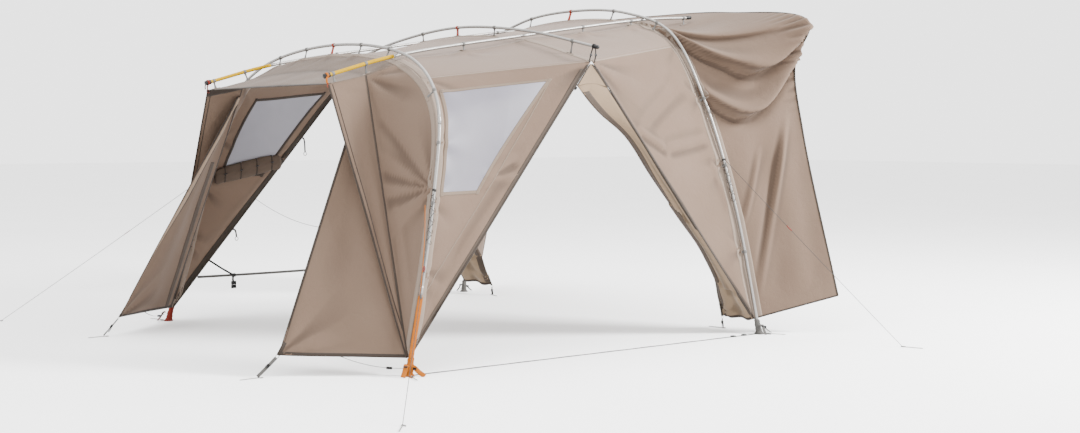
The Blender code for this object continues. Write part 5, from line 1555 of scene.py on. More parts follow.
# Foot: a webbing pocket over the pole's end, on a moulded disc with a tab for the peg
def footPiece(name, track, side, finish, away):
    s = upStop(track, side, poleStops["foot"])
    end, up = track.at(s), track.along(s) * -side
    away = unit((*away, 0))
    height = footSpec["height"] / up[2]
    inner = poleSpec["radius"] + 0.0003
    base, top = footSpec["base"], footSpec["top"]
    segments = 40
    profile = [(0, 0.0), (base - 0.001, 0.0), (base, 0.0015), (base, 0.005), (base - 0.002, 0.0075),
               (top + 0.005, 0.012), (top + 0.0015, 0.022)]
    for k in range(9):
        t = k / 8
        swell = 0.0016 * math.sin(math.pi * 5 * t) + 0.0012
        profile.append((top + swell - 0.004 * t, 0.026 + (height - 0.030) * t))
    profile += [(inner + 0.004, height - 0.001), (inner + 0.0012, height + 0.0005),
                (inner + 0.0002, height - 0.001), (inner, height - 0.02), (inner, 0.03), (0, 0.03)]
    foot = vec(end[0], end[1], 0)
    lean = up / up[2]
    verts, uvs = [], []
    a, b = away, vec(-away[1], away[0], 0)
    for r, h in profile:
        for k in range(segments):
            t = 2 * math.pi * k / segments
            pinch = 0.045 * math.cos(3 * t + h * 60) + 0.03 * math.cos(5 * t - h * 40)
            wide = r * (1 + pinch * (0.024 < h < height - 0.002))
            verts.append(foot + lean * h + (a * math.cos(t) + b * math.sin(t)) * wide)
            uvs.append((t * 0.03, h))
    body = loftMesh("pocket", verts, segments, finish, uvs, capped=False)
    fixNormals(body, 1e-5)
    root = foot + (0, 0, footSpec["tabThick"] / 2 + 0.0002)
    reach = base + footSpec["tabLength"]
    path = [root + away * far for far in (base * 0.6, base, reach - 0.012, reach)]
    width = [footSpec["tabWidth"]] * 3 + [footSpec["tabWidth"] * 0.8]
    tab = strapMesh("tab", path, width, footSpec["tabThick"], (0, 0, 1), finish)
    standsFor(joinAll(name + "Foot", [body, tab]))
    hold = root + away * (base + footSpec["tabLength"] * 0.85)
    pegPiece(name + "Peg", hold, away, footSpec["tabThick"])
    return foot, away


feet = {}
for name, side in bothSides.items():
    finish = "orangeWebbing" if side > 0 else "redWebbing"
    feet[name + "Outer"] = footPiece(name + "Outer", outerTrack, side, finish, (0.35, side))
    feet[name + "Van"] = footPiece(name + "Van", vanTrack, side, "greyWebbing", (-0.5, side))
    pegPiece(name + "WingPeg", leaves[name + "FrontWing"][5], (1, 0))
    pegPiece(name + "DoorPeg", leaves[name + "DoorLeaf"][5], (0.25, -side))
print("poles, feet and pegs made")

# Ends of the middle pole: black caps, and webbing in a V down to the doorway's top

apexSpec = {"width": 0.012, "thick": 0.002, "spread": 0.024}
for name, side in bothSides.items():
    s = 0 if side < 0 else middleTrack.length
    end, out = middleTrack.at(s), middleTrack.along(s) * side
    dressed(polePlug(name + "MiddleCap", end, out, capSpec["tailLength"]))
    apex = corners[name]["apex"]
    hold, ahead = end - out * 0.024, vec(1, 0, 0)
    parts = [bandMesh(hold, ahead, np.cross(out, ahead), 0.0158, 0.016, 0.002, "blackWebbing")]
    for lean in (-1, 1):
        start = hold + (lean * 0.012, 0, -0.008)
        stop = apex + (lean * apexSpec["spread"], side * 0.003, -0.012)
        path = [start, start * 0.5 + stop * 0.5 + (lean * 0.004, side * 0.003, 0), stop]
        parts.append(webMesh(path, apexSpec["width"], apexSpec["thick"], (0, side, 0.1), "blackWebbing"))
        parts.append(blockMesh(path[1] + (0, side * 0.002, 0), levelAxes(ahead), (0.019, 0.005, 0.016)))
    dressed(joinAll(name + "ApexWebbing", parts))

# Webbing and hook that hold the canopy's corner to the ridge pole's tip

cornerSpec = {
    "near": ("orangeWebbing", "orangePlastic"), "far": ("redWebbing", "redPlastic"),
    "width": 0.018, "thick": 0.002,
}
for name, side in bothSides.items():
    ridge, eave = ridgeTracks[name], corners[name]["eave"]
    webbing, plastic = cornerSpec[name]
    tip, along, across = ridge.at(0.012), ridge.along(0.012), vec(0, 1, 0)
    parts = [bandMesh(tip, across, np.cross(along, across), 0.018, 0.016, 0.002, webbing)]
    start, stop = tip + (0, 0, -0.015), eave + (-0.008, -side * 0.006, -0.006)
    path = [start, start * 0.5 + stop * 0.5 + (0.006, side * 0.003, 0), stop]
    parts.append(webMesh(path, cornerSpec["width"], cornerSpec["thick"], (1, 0, 0), webbing))
    hook = [(0.006, 0, 0.014), (0.012, 0.004, 0.004), (0.010, 0.004, -0.010), (0, 0.002, -0.014),
            (-0.006, 0, -0.006)]
    hook = [stop + (out, side * y, up) for out, y, up in hook]
    parts.append(tubeMesh("hook", Track(hook, 6).points, 0.0024, plastic, 10))
    tail = [tip + (out, side * y, up)
            for out, y, up in ((0.004, 0.013, -0.004), (0.012, 0.02, -0.024), (0.01, 0.022, -0.05))]
    parts.append(webMesh(tail, 0.012, 0.0018, (0.4, side, 0), webbing, 6))
    dressed(joinAll(name + "CornerStrap", parts))

# Ties from the corners of wings and door leaves to their pegs, and the wing's own hem strap

tieSpec = {"width": 0.012, "wingWidth": 0.021, "thick": 0.0018, "ring": 0.010, "wire": 0.0017}
for word, (cloth, body, top, low, corner, pegPoint) in leaves.items():
    side = 1 if word.startswith("near") else -1
    tip = cloth.spot(1, 1)
    hold = pegPoint + (0, 0, 0.009)
    way = unit(hold - tip)
    off = unit(np.cross(way, cloth.facing(0.95, 0.9)))
    middle = tip + way * tieSpec["ring"] * 0.9
    parts = [tubeMesh("ring", ringOf(middle, way, off, tieSpec["ring"]), tieSpec["wire"], "pegSteel", 10)]
    face = np.cross(way, off)
    start = middle + way * tieSpec["ring"]
    path = [start, start * 0.6 + hold * 0.4 + (0, 0, -0.002), hold]
    wing = "Wing" in word
    width, finish = (tieSpec["wingWidth"], "greyWebbing") if wing else (tieSpec["width"], "blackWebbing")
    parts.append(webMesh(path, width, tieSpec["thick"], face, finish))
    buckle = start * 0.55 + hold * 0.45
    parts.append(blockMesh(buckle, (way, off, face), (0.020, 0.018, 0.006)))
    loose = buckle + face * 0.005
    tail = [loose, loose + way * 0.02 + face * 0.006, loose + way * 0.045 + face * 0.004 + (0, 0, -0.004)]
    parts.append(webMesh(tail, tieSpec["width"] * 0.9, 0.0016, face, "blackWebbing", 6))
    patch = [cloth.spot(1 - q, 1 - q * 0.5, 0.0028) for q in (0.0, 0.02, 0.045)]
    parts.append(strapMesh("patch", patch, 0.024, 0.0022, cloth.facing(0.98, 0.98), "hemCloth"))
    if wing:
        start = cloth.spot(0.999, 0.52)
        end = feet[word[:-9] + "Outer"][0] + vec(0.030, side * 0.012, 0.052)
        path = hung(start, end, 0.022, 24)
        parts.append(strapMesh("hemStrap", path, 0.009, 0.0018, (0, 0, 1), "blackWebbing"))
        parts.append(blockMesh(path[18], levelAxes(unit(path[19] - path[17])), (0.030, 0.017, 0.008)))
    dressed(joinAll(word + "Tie", parts), body)

# Webbing tails at the feet, and the spare strap that hangs beside the outer legs

tailSpec = {"width": 0.024, "thick": 0.0022, "legWidth": 0.031, "frontWidth": 0.030}
for name, side in bothSides.items():
    colour = "orangeWebbing" if side > 0 else "redWebbing"
    for kind, finish, track in (("Outer", colour, outerTrack), ("Van", "greyWebbing", vanTrack)):
        root, away = feet[name + kind]
        parts = []
        front = kind == "Outer"
        for turn, reach, high in ((0.9, 0.075, 0.055), (-0.7, 0.052, 0.070)):
            c, q = math.cos(turn * side), math.sin(turn * side)
            way = vec(away[0] * c - away[1] * q, away[0] * q + away[1] * c, 0)
            places = ((0.02, high), (0.036, high * 0.96), (0.03 + reach * 0.5, high * 0.5),
                      (0.03 + reach, 0.0035))
            run = Track([root + way * far + (0, 0, up) for far, up in places], 8).points
            face = vec(0.5, side * 0.7, 0.5) if front else way * 0.7 + (0, 0, 0.7)
            width = tailSpec["frontWidth" if front else "width"]
            parts.append(strapMesh("tail", run, width, tailSpec["thick"], face, finish))
            parts.append(blockMesh(run[10], levelAxes(way), (0.016, 0.024, 0.009)))
        if front:
            path = track.at(np.linspace(upStop(track, side, 1.02), upStop(track, side, 0.46), 18))
            drop = np.linspace(1, 0, 18) ** 1.5
            path += vec(0.040, -side * 0.018, 0) * drop[:, None] + vec(0.010, side * 0.006, 0)
            parts.append(strapMesh("spare", path, 0.0045, 0.0014, (0.5, side, 0), finish))
            path = track.at(np.linspace(upStop(track, side, 0.47), upStop(track, side, 0.10), 24))
            path += vec(0.55, side, 0) * (poleSpec["ferrule"] + 0.0022) * 0.88
            parts.append(strapMesh("legWebbing", path, tailSpec["legWidth"], 0.0020, (0.55, side, 0), finish))
            axes = ((0, 0, 1), (0, 1, 0), (1, 0, 0))
            parts.append(blockMesh(path[0], axes, (0.024, 0.014, 0.006), "greyPlastic"))
        dressed(joinAll(name + kind + "Tails", parts))

# Spare guy line, wound down the leg below its grip

hankSpec = {"turns": 9, "radius": 0.0016, "start": 0.02, "fall": 0.30}
for name in guyNodes:
    track, side, up, facing = guyTop[name]
    path = archTracks[track]
    steps = hankSpec["turns"] * 18
    high, low = (upStop(path, side, h)
                 for h in (up - hankSpec["start"], up - hankSpec["start"] - hankSpec["fall"]))
    s = np.linspace(high, low, steps + 1)
    centre, along = path.at(s), path.along(s)
    ahead = vec(*facing, 0.2)
    a = unit(ahead - along * (along @ ahead)[:, None])
    b = np.cross(along, a)
    t = np.linspace(0, 2 * math.pi * hankSpec["turns"], steps + 1)
    loose = 0.010 * (0.5 - 0.5 * np.cos(t * 0.5 + 0.4)) * np.abs(np.sin(t / 2))
    wide = poleSpec["radius"] + hankSpec["radius"] + 0.0004 + loose
    coil = centre + (a * np.cos(t)[:, None] + b * np.sin(t)[:, None]) * wide[:, None]
    coil += along * (0.012 * np.sin(t * 1.5))[:, None]
    dressed(tubeMesh(name + "GuyWinding", coil, hankSpec["radius"], "guyCord", 7))
print("webbing and windings made")

# Guy lines laid out

for name, node in guyNodes.items():
    points, centre, along, facing = guyLine(name)
    flat = unit((points[-1] - points[0]) * (1, 1, 0))
    line = standsFor(tubeMesh(name + "GuyLine", points, guySpec["radius"], "guyCord", 8))
    dressed(guyKnot(name + "GuyKnot", centre, along, facing))
    track = Track(points, 1)
    middle = track.at(track.length * guySpec["runnerShare"])
    body = node + "_runner"
    runner = dressed(runnerPiece(name + "Runner", middle, unit(points[-1] - points[0])), body, body)
    pegPiece(name + "GuyPeg", points[-1] + flat * guySpec["pegAhead"], flat)
    aside = vec(-flat[1], flat[0], 0)
    loop = ringOf(points[-1] + flat * 0.003 + (0, 0, -0.0018), flat * 0.012, aside * 0.007, 1)
    bend = dressed(tubeMesh(name + "GuyLoop", loop, guySpec["radius"] * 0.8, "guyCord", 8))

slackSpec = {"up": 0.93, "sag": 0.27, "gap": 0.0012, "radius": 0.002}


# Places on the doorway's two seams at a height
def acrossDoorway(name, up):
    c = corners[name]
    return [lerp(c[key], c["apex"], seamShare(up)) for key in ("doorOuter", "doorVan")]


a, b = acrossDoorway("far", slackSpec["up"])
inset = unit(b - a) * slackSpec["gap"]
slack = hung(a + inset, b - inset, slackSpec["sag"], 30)
rope = standsFor(tubeMesh("farSlackCord", slack, slackSpec["radius"], "slackRope", 8))
Track(slack, 1).length
print("cords laid")

# Straps

strapSpec = {"width": 0.02, "thick": 0.0018, "crossUp": 0.33, "buckles": (0.16, 0.27)}
a, b = feet["nearOuter"][0], feet["nearVan"][0]
way = unit(b - a)
reach = footSpec["base"] + 0.001
line = [a + way * s + (0, 0, strapSpec["thick"] / 2 + 0.0004 + 0.0012 * math.sin(s * 9) ** 2)
        for s in np.linspace(reach, np.linalg.norm(b - a) - reach, 60)]
standsFor(strapMesh("nearGroundStrap", line, strapSpec["width"], strapSpec["thick"], (0, 0, 1),
                    "greyWebbing"))
places = [b - way * gone + (0, 0, 0.005) for gone in strapSpec["buckles"]]
buckles = [blockMesh(spot, levelAxes(way), (0.026, 0.027, 0.006)) for spot in places]

a, b = acrossDoorway("far", strapSpec["crossUp"])
t = np.linspace(0.002, 0.998, 40)
line = lerp(a, b, t) - vec(0, 0, 0.012) * (4 * t * (1 - t))[:, None]
standsFor(strapMesh("farDoorStrap", line, strapSpec["width"], strapSpec["thick"], (0, -1, 0), "greyWebbing"))
dressed(joinAll("groundStrapBuckles", buckles))
along = unit(line[-1] - line[0])
wall = panels["farWindowWall"]


# Webbing down from one point through others, with a ring at its end and sometimes two ladder buckles
def hangingTie(knots, width, buckled=False):
    made = [webMesh(knots, width, 0.002, (0, 1, 0), "blackWebbing")]
    end = knots[-1]
    for drop in (0.0, 0.030) if buckled else ():
        made.append(blockMesh(end - (0, 0, drop), (along, (0, 1, 0), (0, 0, 1)), (0.036, 0.010, 0.022)))
    ring = ringOf(end - (0, 0, 0.014), along, vec(0, 0, 1), 0.014)
    return made + [tubeMesh("ring", ring, 0.0026, "greyPlastic", 8)]


parts = []
for share in (0.125, 0.965):
    spot = np.array([np.interp(share, np.linspace(0, 1, 40), line[:, k]) for k in range(3)])
    parts.append(blockMesh(spot, (along, (0, 1, 0), np.cross(along, (0, 1, 0))), (0.030, 0.007, 0.028)))
    knots = [spot + (0, -0.002, -0.008), spot + (0.004, -0.004, -0.03), spot + (0, 0, -0.062)]
    parts += hangingTie(knots, 0.018, share < 0.5)
    if share < 0.5:
        start = wall.spot(0.19, 0.985, 0.004)
        path = [start, start * 0.5 + spot * 0.5 - (0, 0, 0.004), spot]
        parts.append(webMesh(path, 0.016, 0.002, (0, 1, 0), "blackWebbing", 6))
for v, reach in ((0.715, 0.12), (0.32, 0.065)):
    start = wall.spot(v, 0.99, 0.004)
    parts += hangingTie([start, start + (-0.022, 0, -0.012), start + (-0.034, 0, -reach)], 0.014)
dressed(joinAll("farDoorBuckles", parts))

# Front door, rolled up under the canopy

rollSpec = {"radius": 0.026, "drop": 0.0283, "ends": 0.05}
t = np.linspace(rollSpec["ends"], 1 - rollSpec["ends"], 120)
line = canopyCloth.base(np.full_like(t, 1 / 3), t) - vec(0, 0, rollSpec["drop"])
line[:, 2] -= 0.004 * np.sin(t * 31) ** 2
radius = rollSpec["radius"] * (0.86 + 0.07 * np.cos(t * 44) + 0.05 * np.cos(t * 97 + 1))
radius[[0, -1]] *= 0.7
standsFor(tubeMesh("frontDoorRoll", line, radius, "rollCanvas", 28))

# Strips of a panel's own surface: bands, tapes, hems and frames


# Part of a panel between two lines over it. left and right give u for each v, or the other way round
def stripCloth(cloth, start, stop, left, right, across="u"):
    def base(v, u):
        run = start + (stop - start) * v
        a = left(run) if callable(left) else np.full_like(run, left)
        b = right(run) if callable(right) else np.full_like(run, right)
        side = a + (b - a) * u
        if across == "u":
            return cloth.points(np.clip(run, 0, 1), np.clip(side, 0, 1))
        return cloth.points(np.clip(side, 0, 1), np.clip(run, 0, 1))

    return Cloth(base, None, cloth.outward)


# The u, at each v, that lies a length along the panel from the line u = start. down swaps u and v
def acrossFrom(cloth, start, length, down=False):
    rows, t = np.linspace(0, 1, 41), np.linspace(start, 1 if length > 0 else 0, 61)
    v, u = np.meshgrid(rows, t, indexing="ij")
    run = runAlong(cloth.base(u, v) if down else cloth.base(v, u), 1)
    found = [np.interp(abs(length), r, t) for r in run]
    return lambda v: np.interp(v, rows, found)


def downFrom(cloth, start, length):
    return acrossFrom(cloth, start, length, down=True)


bandSpec = {"arch": 0.06, "roof": 0.06, "edge": 0.042, "zip": 0.018, "hem": 0.022, "piping": 0.006,
            "binding": 0.012, "seam": 0.012, "frame": 0.024, "panelSeam": (0.202, 0.19)}
seamLines = {}  # lines to stitch, for each body
zipLines = {}


# The strips sewn onto one body, and the lines of their stitches
class Trim:
    def __init__(self, body="shelter"):
        self.body, self.strips = body, []

    def sew(self, cloth, start, stop, left, right, finish, across="u", thick=0.0032, steps=(90, 4), lift=0.0,
            shares=(0.13, 0.87), faces=(1, -1)):
        part = stripCloth(cloth, start, stop, left, right, across)
        rows, columns = (np.linspace(0, 1, count + 1) for count in steps)
        self.strips.append(clothMesh("strip", part, rows, columns, finish, thick, lift))
        rise = thick / 2 + abs(lift) + 0.0001
        run = np.linspace(0.004, 0.996, 120)
        for share in shares:
            for face in faces:
                line = part.points(run, np.full(120, share), face * rise)
                seamLines.setdefault(self.body, []).append(line)


def zipRun(body, cloth, u):
    run = np.linspace(0.01, 0.98, 160)
    zipLines.setdefault(body, []).append(cloth.points(run, np.full(160, u)))


for name, side in bothSides.items():
    words = ("WindowWall", "VanWall", "Shoulder", "Cheek", "Sleeve", "DoorTop")
    wall, back, shoulder, cheek, sleeve, top = (panels[name + word] for word in words)
    trim = Trim()
    for cloth in (wall, back):
        trim.sew(cloth, 0, 0.998, 0, acrossFrom(cloth, 0, bandSpec["arch"]), "tapeCloth")
        wide, finish = (bandSpec["edge"], "edgeCloth") if side > 0 else (bandSpec["edge"] * 1.4, "hemCloth")
        share = 0.5 if cloth is back else 1.0
        trim.sew(cloth, 0, 0.97, acrossFrom(cloth, 1, -wide * share), 1, finish, shares=(0.1,))
        tape = acrossFrom(cloth, 1, -bandSpec["zip"] * share)
        trim.sew(cloth, 0, 0.985, tape, 1, "hemCloth", thick=0.0044, shares=(0.2,))
        seam = downFrom(cloth, 1, -bandSpec["seam"])
        trim.sew(cloth, 0, 1, seam, 1, "tapeCloth", "v", 0.0036, (60, 2), shares=(0.2,))
        zipRun("shelter", cloth, 1.0)
    if side > 0:
        left, right = (acrossFrom(wall, 1, -gone) for gone in bandSpec["panelSeam"])
        trim.sew(wall, 0.03, 0.92, left, right, "frameCloth", thick=0.003, steps=(90, 2), shares=(0.1, 0.9))
    trim.sew(shoulder, 0, 1, acrossFrom(shoulder, 1, -bandSpec["arch"] * 0.7), 1, "tapeCloth")
    trim.sew(shoulder, 0, 1, 0, acrossFrom(shoulder, 0, 0.007), "hemCloth", thick=0.0042, shares=(0.8,))
    trim.sew(cheek, 0, 0.995, 0, acrossFrom(cheek, 0, 0.010), "hemCloth", thick=0.0046, shares=(0.8,))
    left, right = acrossFrom(cheek, 0, 0.030), acrossFrom(cheek, 0, 0.030 + bandSpec["piping"])
    trim.sew(cheek, 0, 0.995, left, right, "hemCloth", thick=0.0044, steps=(90, 2), shares=())
    trim.sew(cheek, 0, 1, acrossFrom(cheek, 1, -0.008), 1, "edgeCloth", thick=0.0042, shares=(0.2,))
    hem = downFrom(cheek, 1, -0.055)
    trim.sew(cheek, 0, 1, hem, 1, "hemCloth", "v", 0.0018, (40, 3), -0.0022, (0.1,), (-1,))
    trim.sew(sleeve, 0, 1, 0, acrossFrom(sleeve, 0, bandSpec["roof"]), "tapeCloth", steps=(160, 4))
    binding = -bandSpec["binding"]
    edge = acrossFrom(sleeve, 1, binding)
    trim.sew(sleeve, 0, 1, edge, 1, "hemCloth", thick=0.004, steps=(200, 3), shares=(0.15,))
    hem = downFrom(sleeve, 1, binding)
    trim.sew(sleeve, 0, 1, hem, 1, "hemCloth", "v", 0.004, (60, 3), shares=(0.15,))
    v0, v1, u0, u1 = skinPlan["window"]
    outward, inward = bandSpec["frame"] * 0.75, bandSpec["frame"] * 0.3
    for finish, lift, thick, face in (("frameCloth", 0.0009, 0.0024, 1), ("hemCloth", -0.0022, 0.0018, -1)):
        more = {"thick": thick, "lift": lift, "faces": (face,)}
        for edge, sign in ((u0, -1), (u1, 1)):
            outer, inner = acrossFrom(wall, edge, sign * outward), acrossFrom(wall, edge, -sign * inward)
            trim.sew(wall, v0 - 0.012, v1 + 0.012, outer, inner, finish, **more)
        for edge, sign in ((v0, -1), (v1, 1)):
            outer, inner = downFrom(wall, edge, sign * outward), downFrom(wall, edge, -sign * inward)
            trim.sew(wall, u0 - 0.01, u1 + 0.01, outer, inner, finish, "v", steps=(60, 3), **more)
    trim.sew(top, 0.02, 1, 0, acrossFrom(top, 0, 0.014), "hemCloth", thick=0.0034, shares=())
    trim.sew(top, 0.02, 1, acrossFrom(top, 1, -0.014), 1, "hemCloth", thick=0.0034, shares=())
    v = np.linspace(0.01, 0.998, 260)
    keder = tubeMesh("keder", sleeve.points(v, np.full(260, 0.999)), 0.0034, "hemCloth", 10)
    dressed(joinAll(name + "SeamTapes", trim.strips + [keder]))


# Line over the roof that stays over a ridge pole
def ridgeOver(side, shift):
    t, rows = np.linspace(0, 1, 201), np.linspace(0, 1, 25)
    wanted = ridgePole["side"] * side + shift
    found = [np.interp(-wanted, -roofBase(np.full_like(t, row), t)[:, 1], t) for row in rows]
    return lambda v: np.interp(v, rows, found)


trim = Trim()
band = bandSpec["roof"]
trim.sew(roofCloth, 0, 1, 0, downFrom(roofCloth, 0, band), "tapeCloth", "v", steps=(140, 4))
low, high = downFrom(roofCloth, 0.5, -band / 2), downFrom(roofCloth, 0.5, band / 2)
trim.sew(roofCloth, 0, 1, low, high, "tapeCloth", "v", steps=(140, 5))
trim.sew(roofCloth, 0, 1, downFrom(roofCloth, 1, -band), 1, "tapeCloth", "v", steps=(140, 4))
for side in (1, -1):
    trim.sew(roofCloth, 0, 1, ridgeOver(side, 0.013), ridgeOver(side, -0.013), "tapeCloth", steps=(120, 3))
trim.sew(canopyCloth, 0, 1, downFrom(canopyCloth, 1, -0.045), 1, "tapeCloth", "v", steps=(110, 4))
trim.sew(canopyCloth, 0, 1, 0, downFrom(canopyCloth, 0, 0.024), "hemCloth", "v", 0.004, (110, 3))
dressed(joinAll("roofSeamTapes", trim.strips))

for word, (cloth, body, top, low, corner, pegPoint) in leaves.items():
    wing = "Wing" in word
    trim = Trim(body)
    # On a door leaf, the wide dark edgeCloth strip along the rolled-back edge is painted shade for the shadow
    # side of the roll
    wide, finish, start = (0.016, "hemCloth", 0) if wing else (0.062, "edgeCloth", 0.03)
    trim.sew(cloth, start, 1, acrossFrom(cloth, 1, -wide), 1, finish, thick=0.0036, shares=(0.12,))
    hem = downFrom(cloth, 1, -bandSpec["hem"])
    trim.sew(cloth, 0, 1, hem, 1, "hemCloth", "v", 0.0036, (60, 3), shares=(0.12,))
    trim.sew(cloth, 0.02, 1, 0, acrossFrom(cloth, 0, 0.014), "hemCloth", thick=0.0036, shares=(0.85,))
    if wing and word.startswith("far"):
        outer, inner = acrossFrom(cloth, 1, -0.018), acrossFrom(cloth, 1, -0.064)

        def narrowing(v, share=1.0):
            return outer(v) + (inner(v) - outer(v)) * share * np.clip((0.82 - v) / 0.35, 0.04, 1)

        more = {"thick": 0.0018, "lift": -0.0022}
        trim.sew(cloth, 0, 0.82, narrowing, outer, "pipingCloth", shares=(0.1, 0.9), faces=(-1,), **more)
        trim.sew(cloth, 0, 0.82, lambda v: narrowing(v, 1.3), narrowing, "hemCloth", shares=(), **more)
        left, right = acrossFrom(cloth, 0, 0.05), acrossFrom(cloth, 0, 0.10)
        trim.sew(cloth, 0.30, 1, left, right, "edgeCloth", thick=0.003, shares=(0.1, 0.9))
    else:
        zipRun(body, cloth, 1.0)
    dressed(joinAll(word + "Hems", trim.strips), body)
print("bands and hems made")

# Stitches along every seam, and the zips' teeth, set along lines by geometry nodes

stitchSpec = {"pitch": 0.0105, "length": 0.0066, "radius": 0.00055, "uneven": 0.15, "seed": 4}
teethSpec = {"pitch": 0.0034, "length": 0.0026, "radius": 0.0019, "uneven": 0.02, "seed": 9}


def stitchTree():
    tree = bpy.data.node_groups.new("stitchRun", "GeometryNodeTree")
    tree.is_modifier = True
    face = tree.interface
    face.new_socket("Geometry", in_out="OUTPUT", socket_type="NodeSocketGeometry")
    face.new_socket("Geometry", in_out="INPUT", socket_type="NodeSocketGeometry")
    kinds = {key: "NodeSocketFloat" for key in ("pitch", "length", "radius", "uneven")}
    kinds.update(seed="NodeSocketInt", finish="NodeSocketMaterial")
    sockets = {key: face.new_socket(key, in_out="INPUT", socket_type=kinds[key]).identifier for key in kinds}

    def add(kind, inputs, output=0, **settings):
        node = tree.nodes.new(kind)
        for key, value in settings.items():
            setattr(node, key, value)
        for key, value in inputs.items():
            socket = node.inputs[key]
            if hasattr(value, "is_output"):
                tree.links.new(value, socket)
            else:
                socket.default_value = value
        return node.outputs[output] if node.outputs else None

    given = tree.nodes.new("NodeGroupInput").outputs
    curve = add("GeometryNodeMeshToCurve", {"Mesh": given["Geometry"]})
    spaced = add("GeometryNodeResampleCurve", {"Curve": curve, "Length": given["pitch"]}, mode="LENGTH")
    tangent = add("GeometryNodeInputTangent", {})
    turn = add("FunctionNodeAlignRotationToVector", {"Vector": tangent}, axis="Z")
    bead = add("GeometryNodeMeshUVSphere", {"Segments": 5, "Rings": 3, "Radius": 1.0}, "Mesh")
    half = add("ShaderNodeMath", {0: given["length"], 1: 0.5}, operation="MULTIPLY")
    size = add("ShaderNodeCombineXYZ", {"X": given["radius"], "Y": given["radius"], "Z": half})
    shaped = add("GeometryNodeTransform", {"Geometry": bead, "Scale": size})
    least = add("ShaderNodeMath", {0: 1.0, 1: given["uneven"]}, operation="SUBTRACT")
    spread = add("FunctionNodeRandomValue", {2: least, 3: 1.0, "Seed": given["seed"]}, 1, data_type="FLOAT")
    beads = {"Points": spaced, "Instance": shaped, "Rotation": turn, "Scale": spread}
    many = add("GeometryNodeRealizeInstances", {"Geometry": add("GeometryNodeInstanceOnPoints", beads)})
    add("NodeGroupOutput",
        {0: add("GeometryNodeSetMaterial", {"Geometry": many, "Material": given["finish"]})})
    return tree, sockets


stitchRun, stitchSockets = stitchTree()


def runsAlong(name, body, lines, spec, finish):
    verts, edges = [], []
    for line in lines:
        edges += [(len(verts) + i, len(verts) + i + 1) for i in range(len(line) - 1)]
        verts += [tuple(p) for p in line]
    mesh = bpy.data.meshes.new(name)
    mesh.from_pydata(verts, edges, [])
    thing = bpy.data.objects.new(name, mesh)
    bpy.context.scene.collection.objects.link(thing)
    run = thing.modifiers.new("run", "NODES")
    run.node_group = stitchRun
    for key, value in spec.items():
        run[stitchSockets[key]] = value
    run[stitchSockets["finish"]] = finishes[finish]
    applyModifiers(thing)
    if finishes[finish].name not in thing.data.materials:
        thing.data.materials.append(finishes[finish])
    print(name, len(thing.data.polygons))
    return dressed(thing, body)


for body, lines in seamLines.items():
    groups = {"": lines}
    if body == "shelter":
        groups = {"Near": [], "Far": [], "Roof": []}
        for line in lines:
            middle = np.mean(line[:, 1])
            groups["Near" if middle > 0.9 else "Far" if middle < -0.9 else "Roof"].append(line)
    for word, group in groups.items():
        runsAlong(body + word + "Stitches", body, group, stitchSpec, "stitchThread")
for body, lines in zipLines.items():
    runsAlong(body + "ZipTeeth", body, lines, teethSpec, "zipCoil")
print("stitches and zips made")

# Clips that hang the skin from the poles

clipSpec = {"thick": 0.0034, "width": 0.022, "open": 80.0, "tab": 0.032}
bvhs = {}


def treeOf(name):
    if name not in bvhs:
        mesh = bpy.data.objects[name].data
        verts = [v.co[:] for v in mesh.vertices]
        bvhs[name] = BVHTree.FromPolygons(verts, [p.vertices[:] for p in mesh.polygons])
    return bvhs[name]


def clipPiece(centre, along, target, normal, finish):
    down = unit(target - centre - along * np.dot(target - centre, along))
    side = np.cross(along, down)
    r = poleSpec["radius"] + clipSpec["thick"] / 2 + 0.0004
    gap = math.radians(clipSpec["open"])
    turns = np.linspace(gap / 2, 2 * math.pi - gap / 2, 22)
    arc = [centre + (-down * math.cos(t) + side * math.sin(t)) * r for t in turns + 0.9]
    ring = strapMesh("ring", arc, clipSpec["width"], clipSpec["thick"], [unit(p - centre) for p in arc],
                     finish)
    neck = [centre + down * (r + 0.0005), centre * 0.5 + target * 0.5 + side * 0.001, target - down * 0.0006]
    shares = (1.3, 1.15, 1.5) if finish == "orangePlastic" else (0.85, 0.5, 1)
    width = np.interp(np.linspace(0, 2, 13), (0, 1, 2), vec(*shares) * clipSpec["width"])
    stem = webMesh(neck, width, 0.0046, side, finish, 6)
    n = unit(normal if np.dot(normal, centre - target) > 0 else -normal)
    run = unit(along - n * np.dot(along, n))
    tab = [target + n * 0.0018 + run * s for s in np.linspace(-clipSpec["tab"], clipSpec["tab"], 9)]
    patch = strapMesh("patch", tab, 0.02, 0.0022, n, "tapeCloth")
    return joinAll("clip", [ring, stem, patch])


def hangClips(name, places):
    made = []
    for panel, track, s, toward, finish in places:
        centre, along = track.at(s), track.along(s)
        toward = unit(np.asarray(toward, float) - along * np.dot(toward, along))
        hit = treeOf(panel).ray_cast(Vector(centre), Vector(toward), 0.4)
        if hit[0] is None:
            print("no skin under a clip on", panel)
            continue
        made.append(clipPiece(centre, along, np.array(hit[0]), np.array(hit[1]), finish))
    dressed(joinAll(name, made))


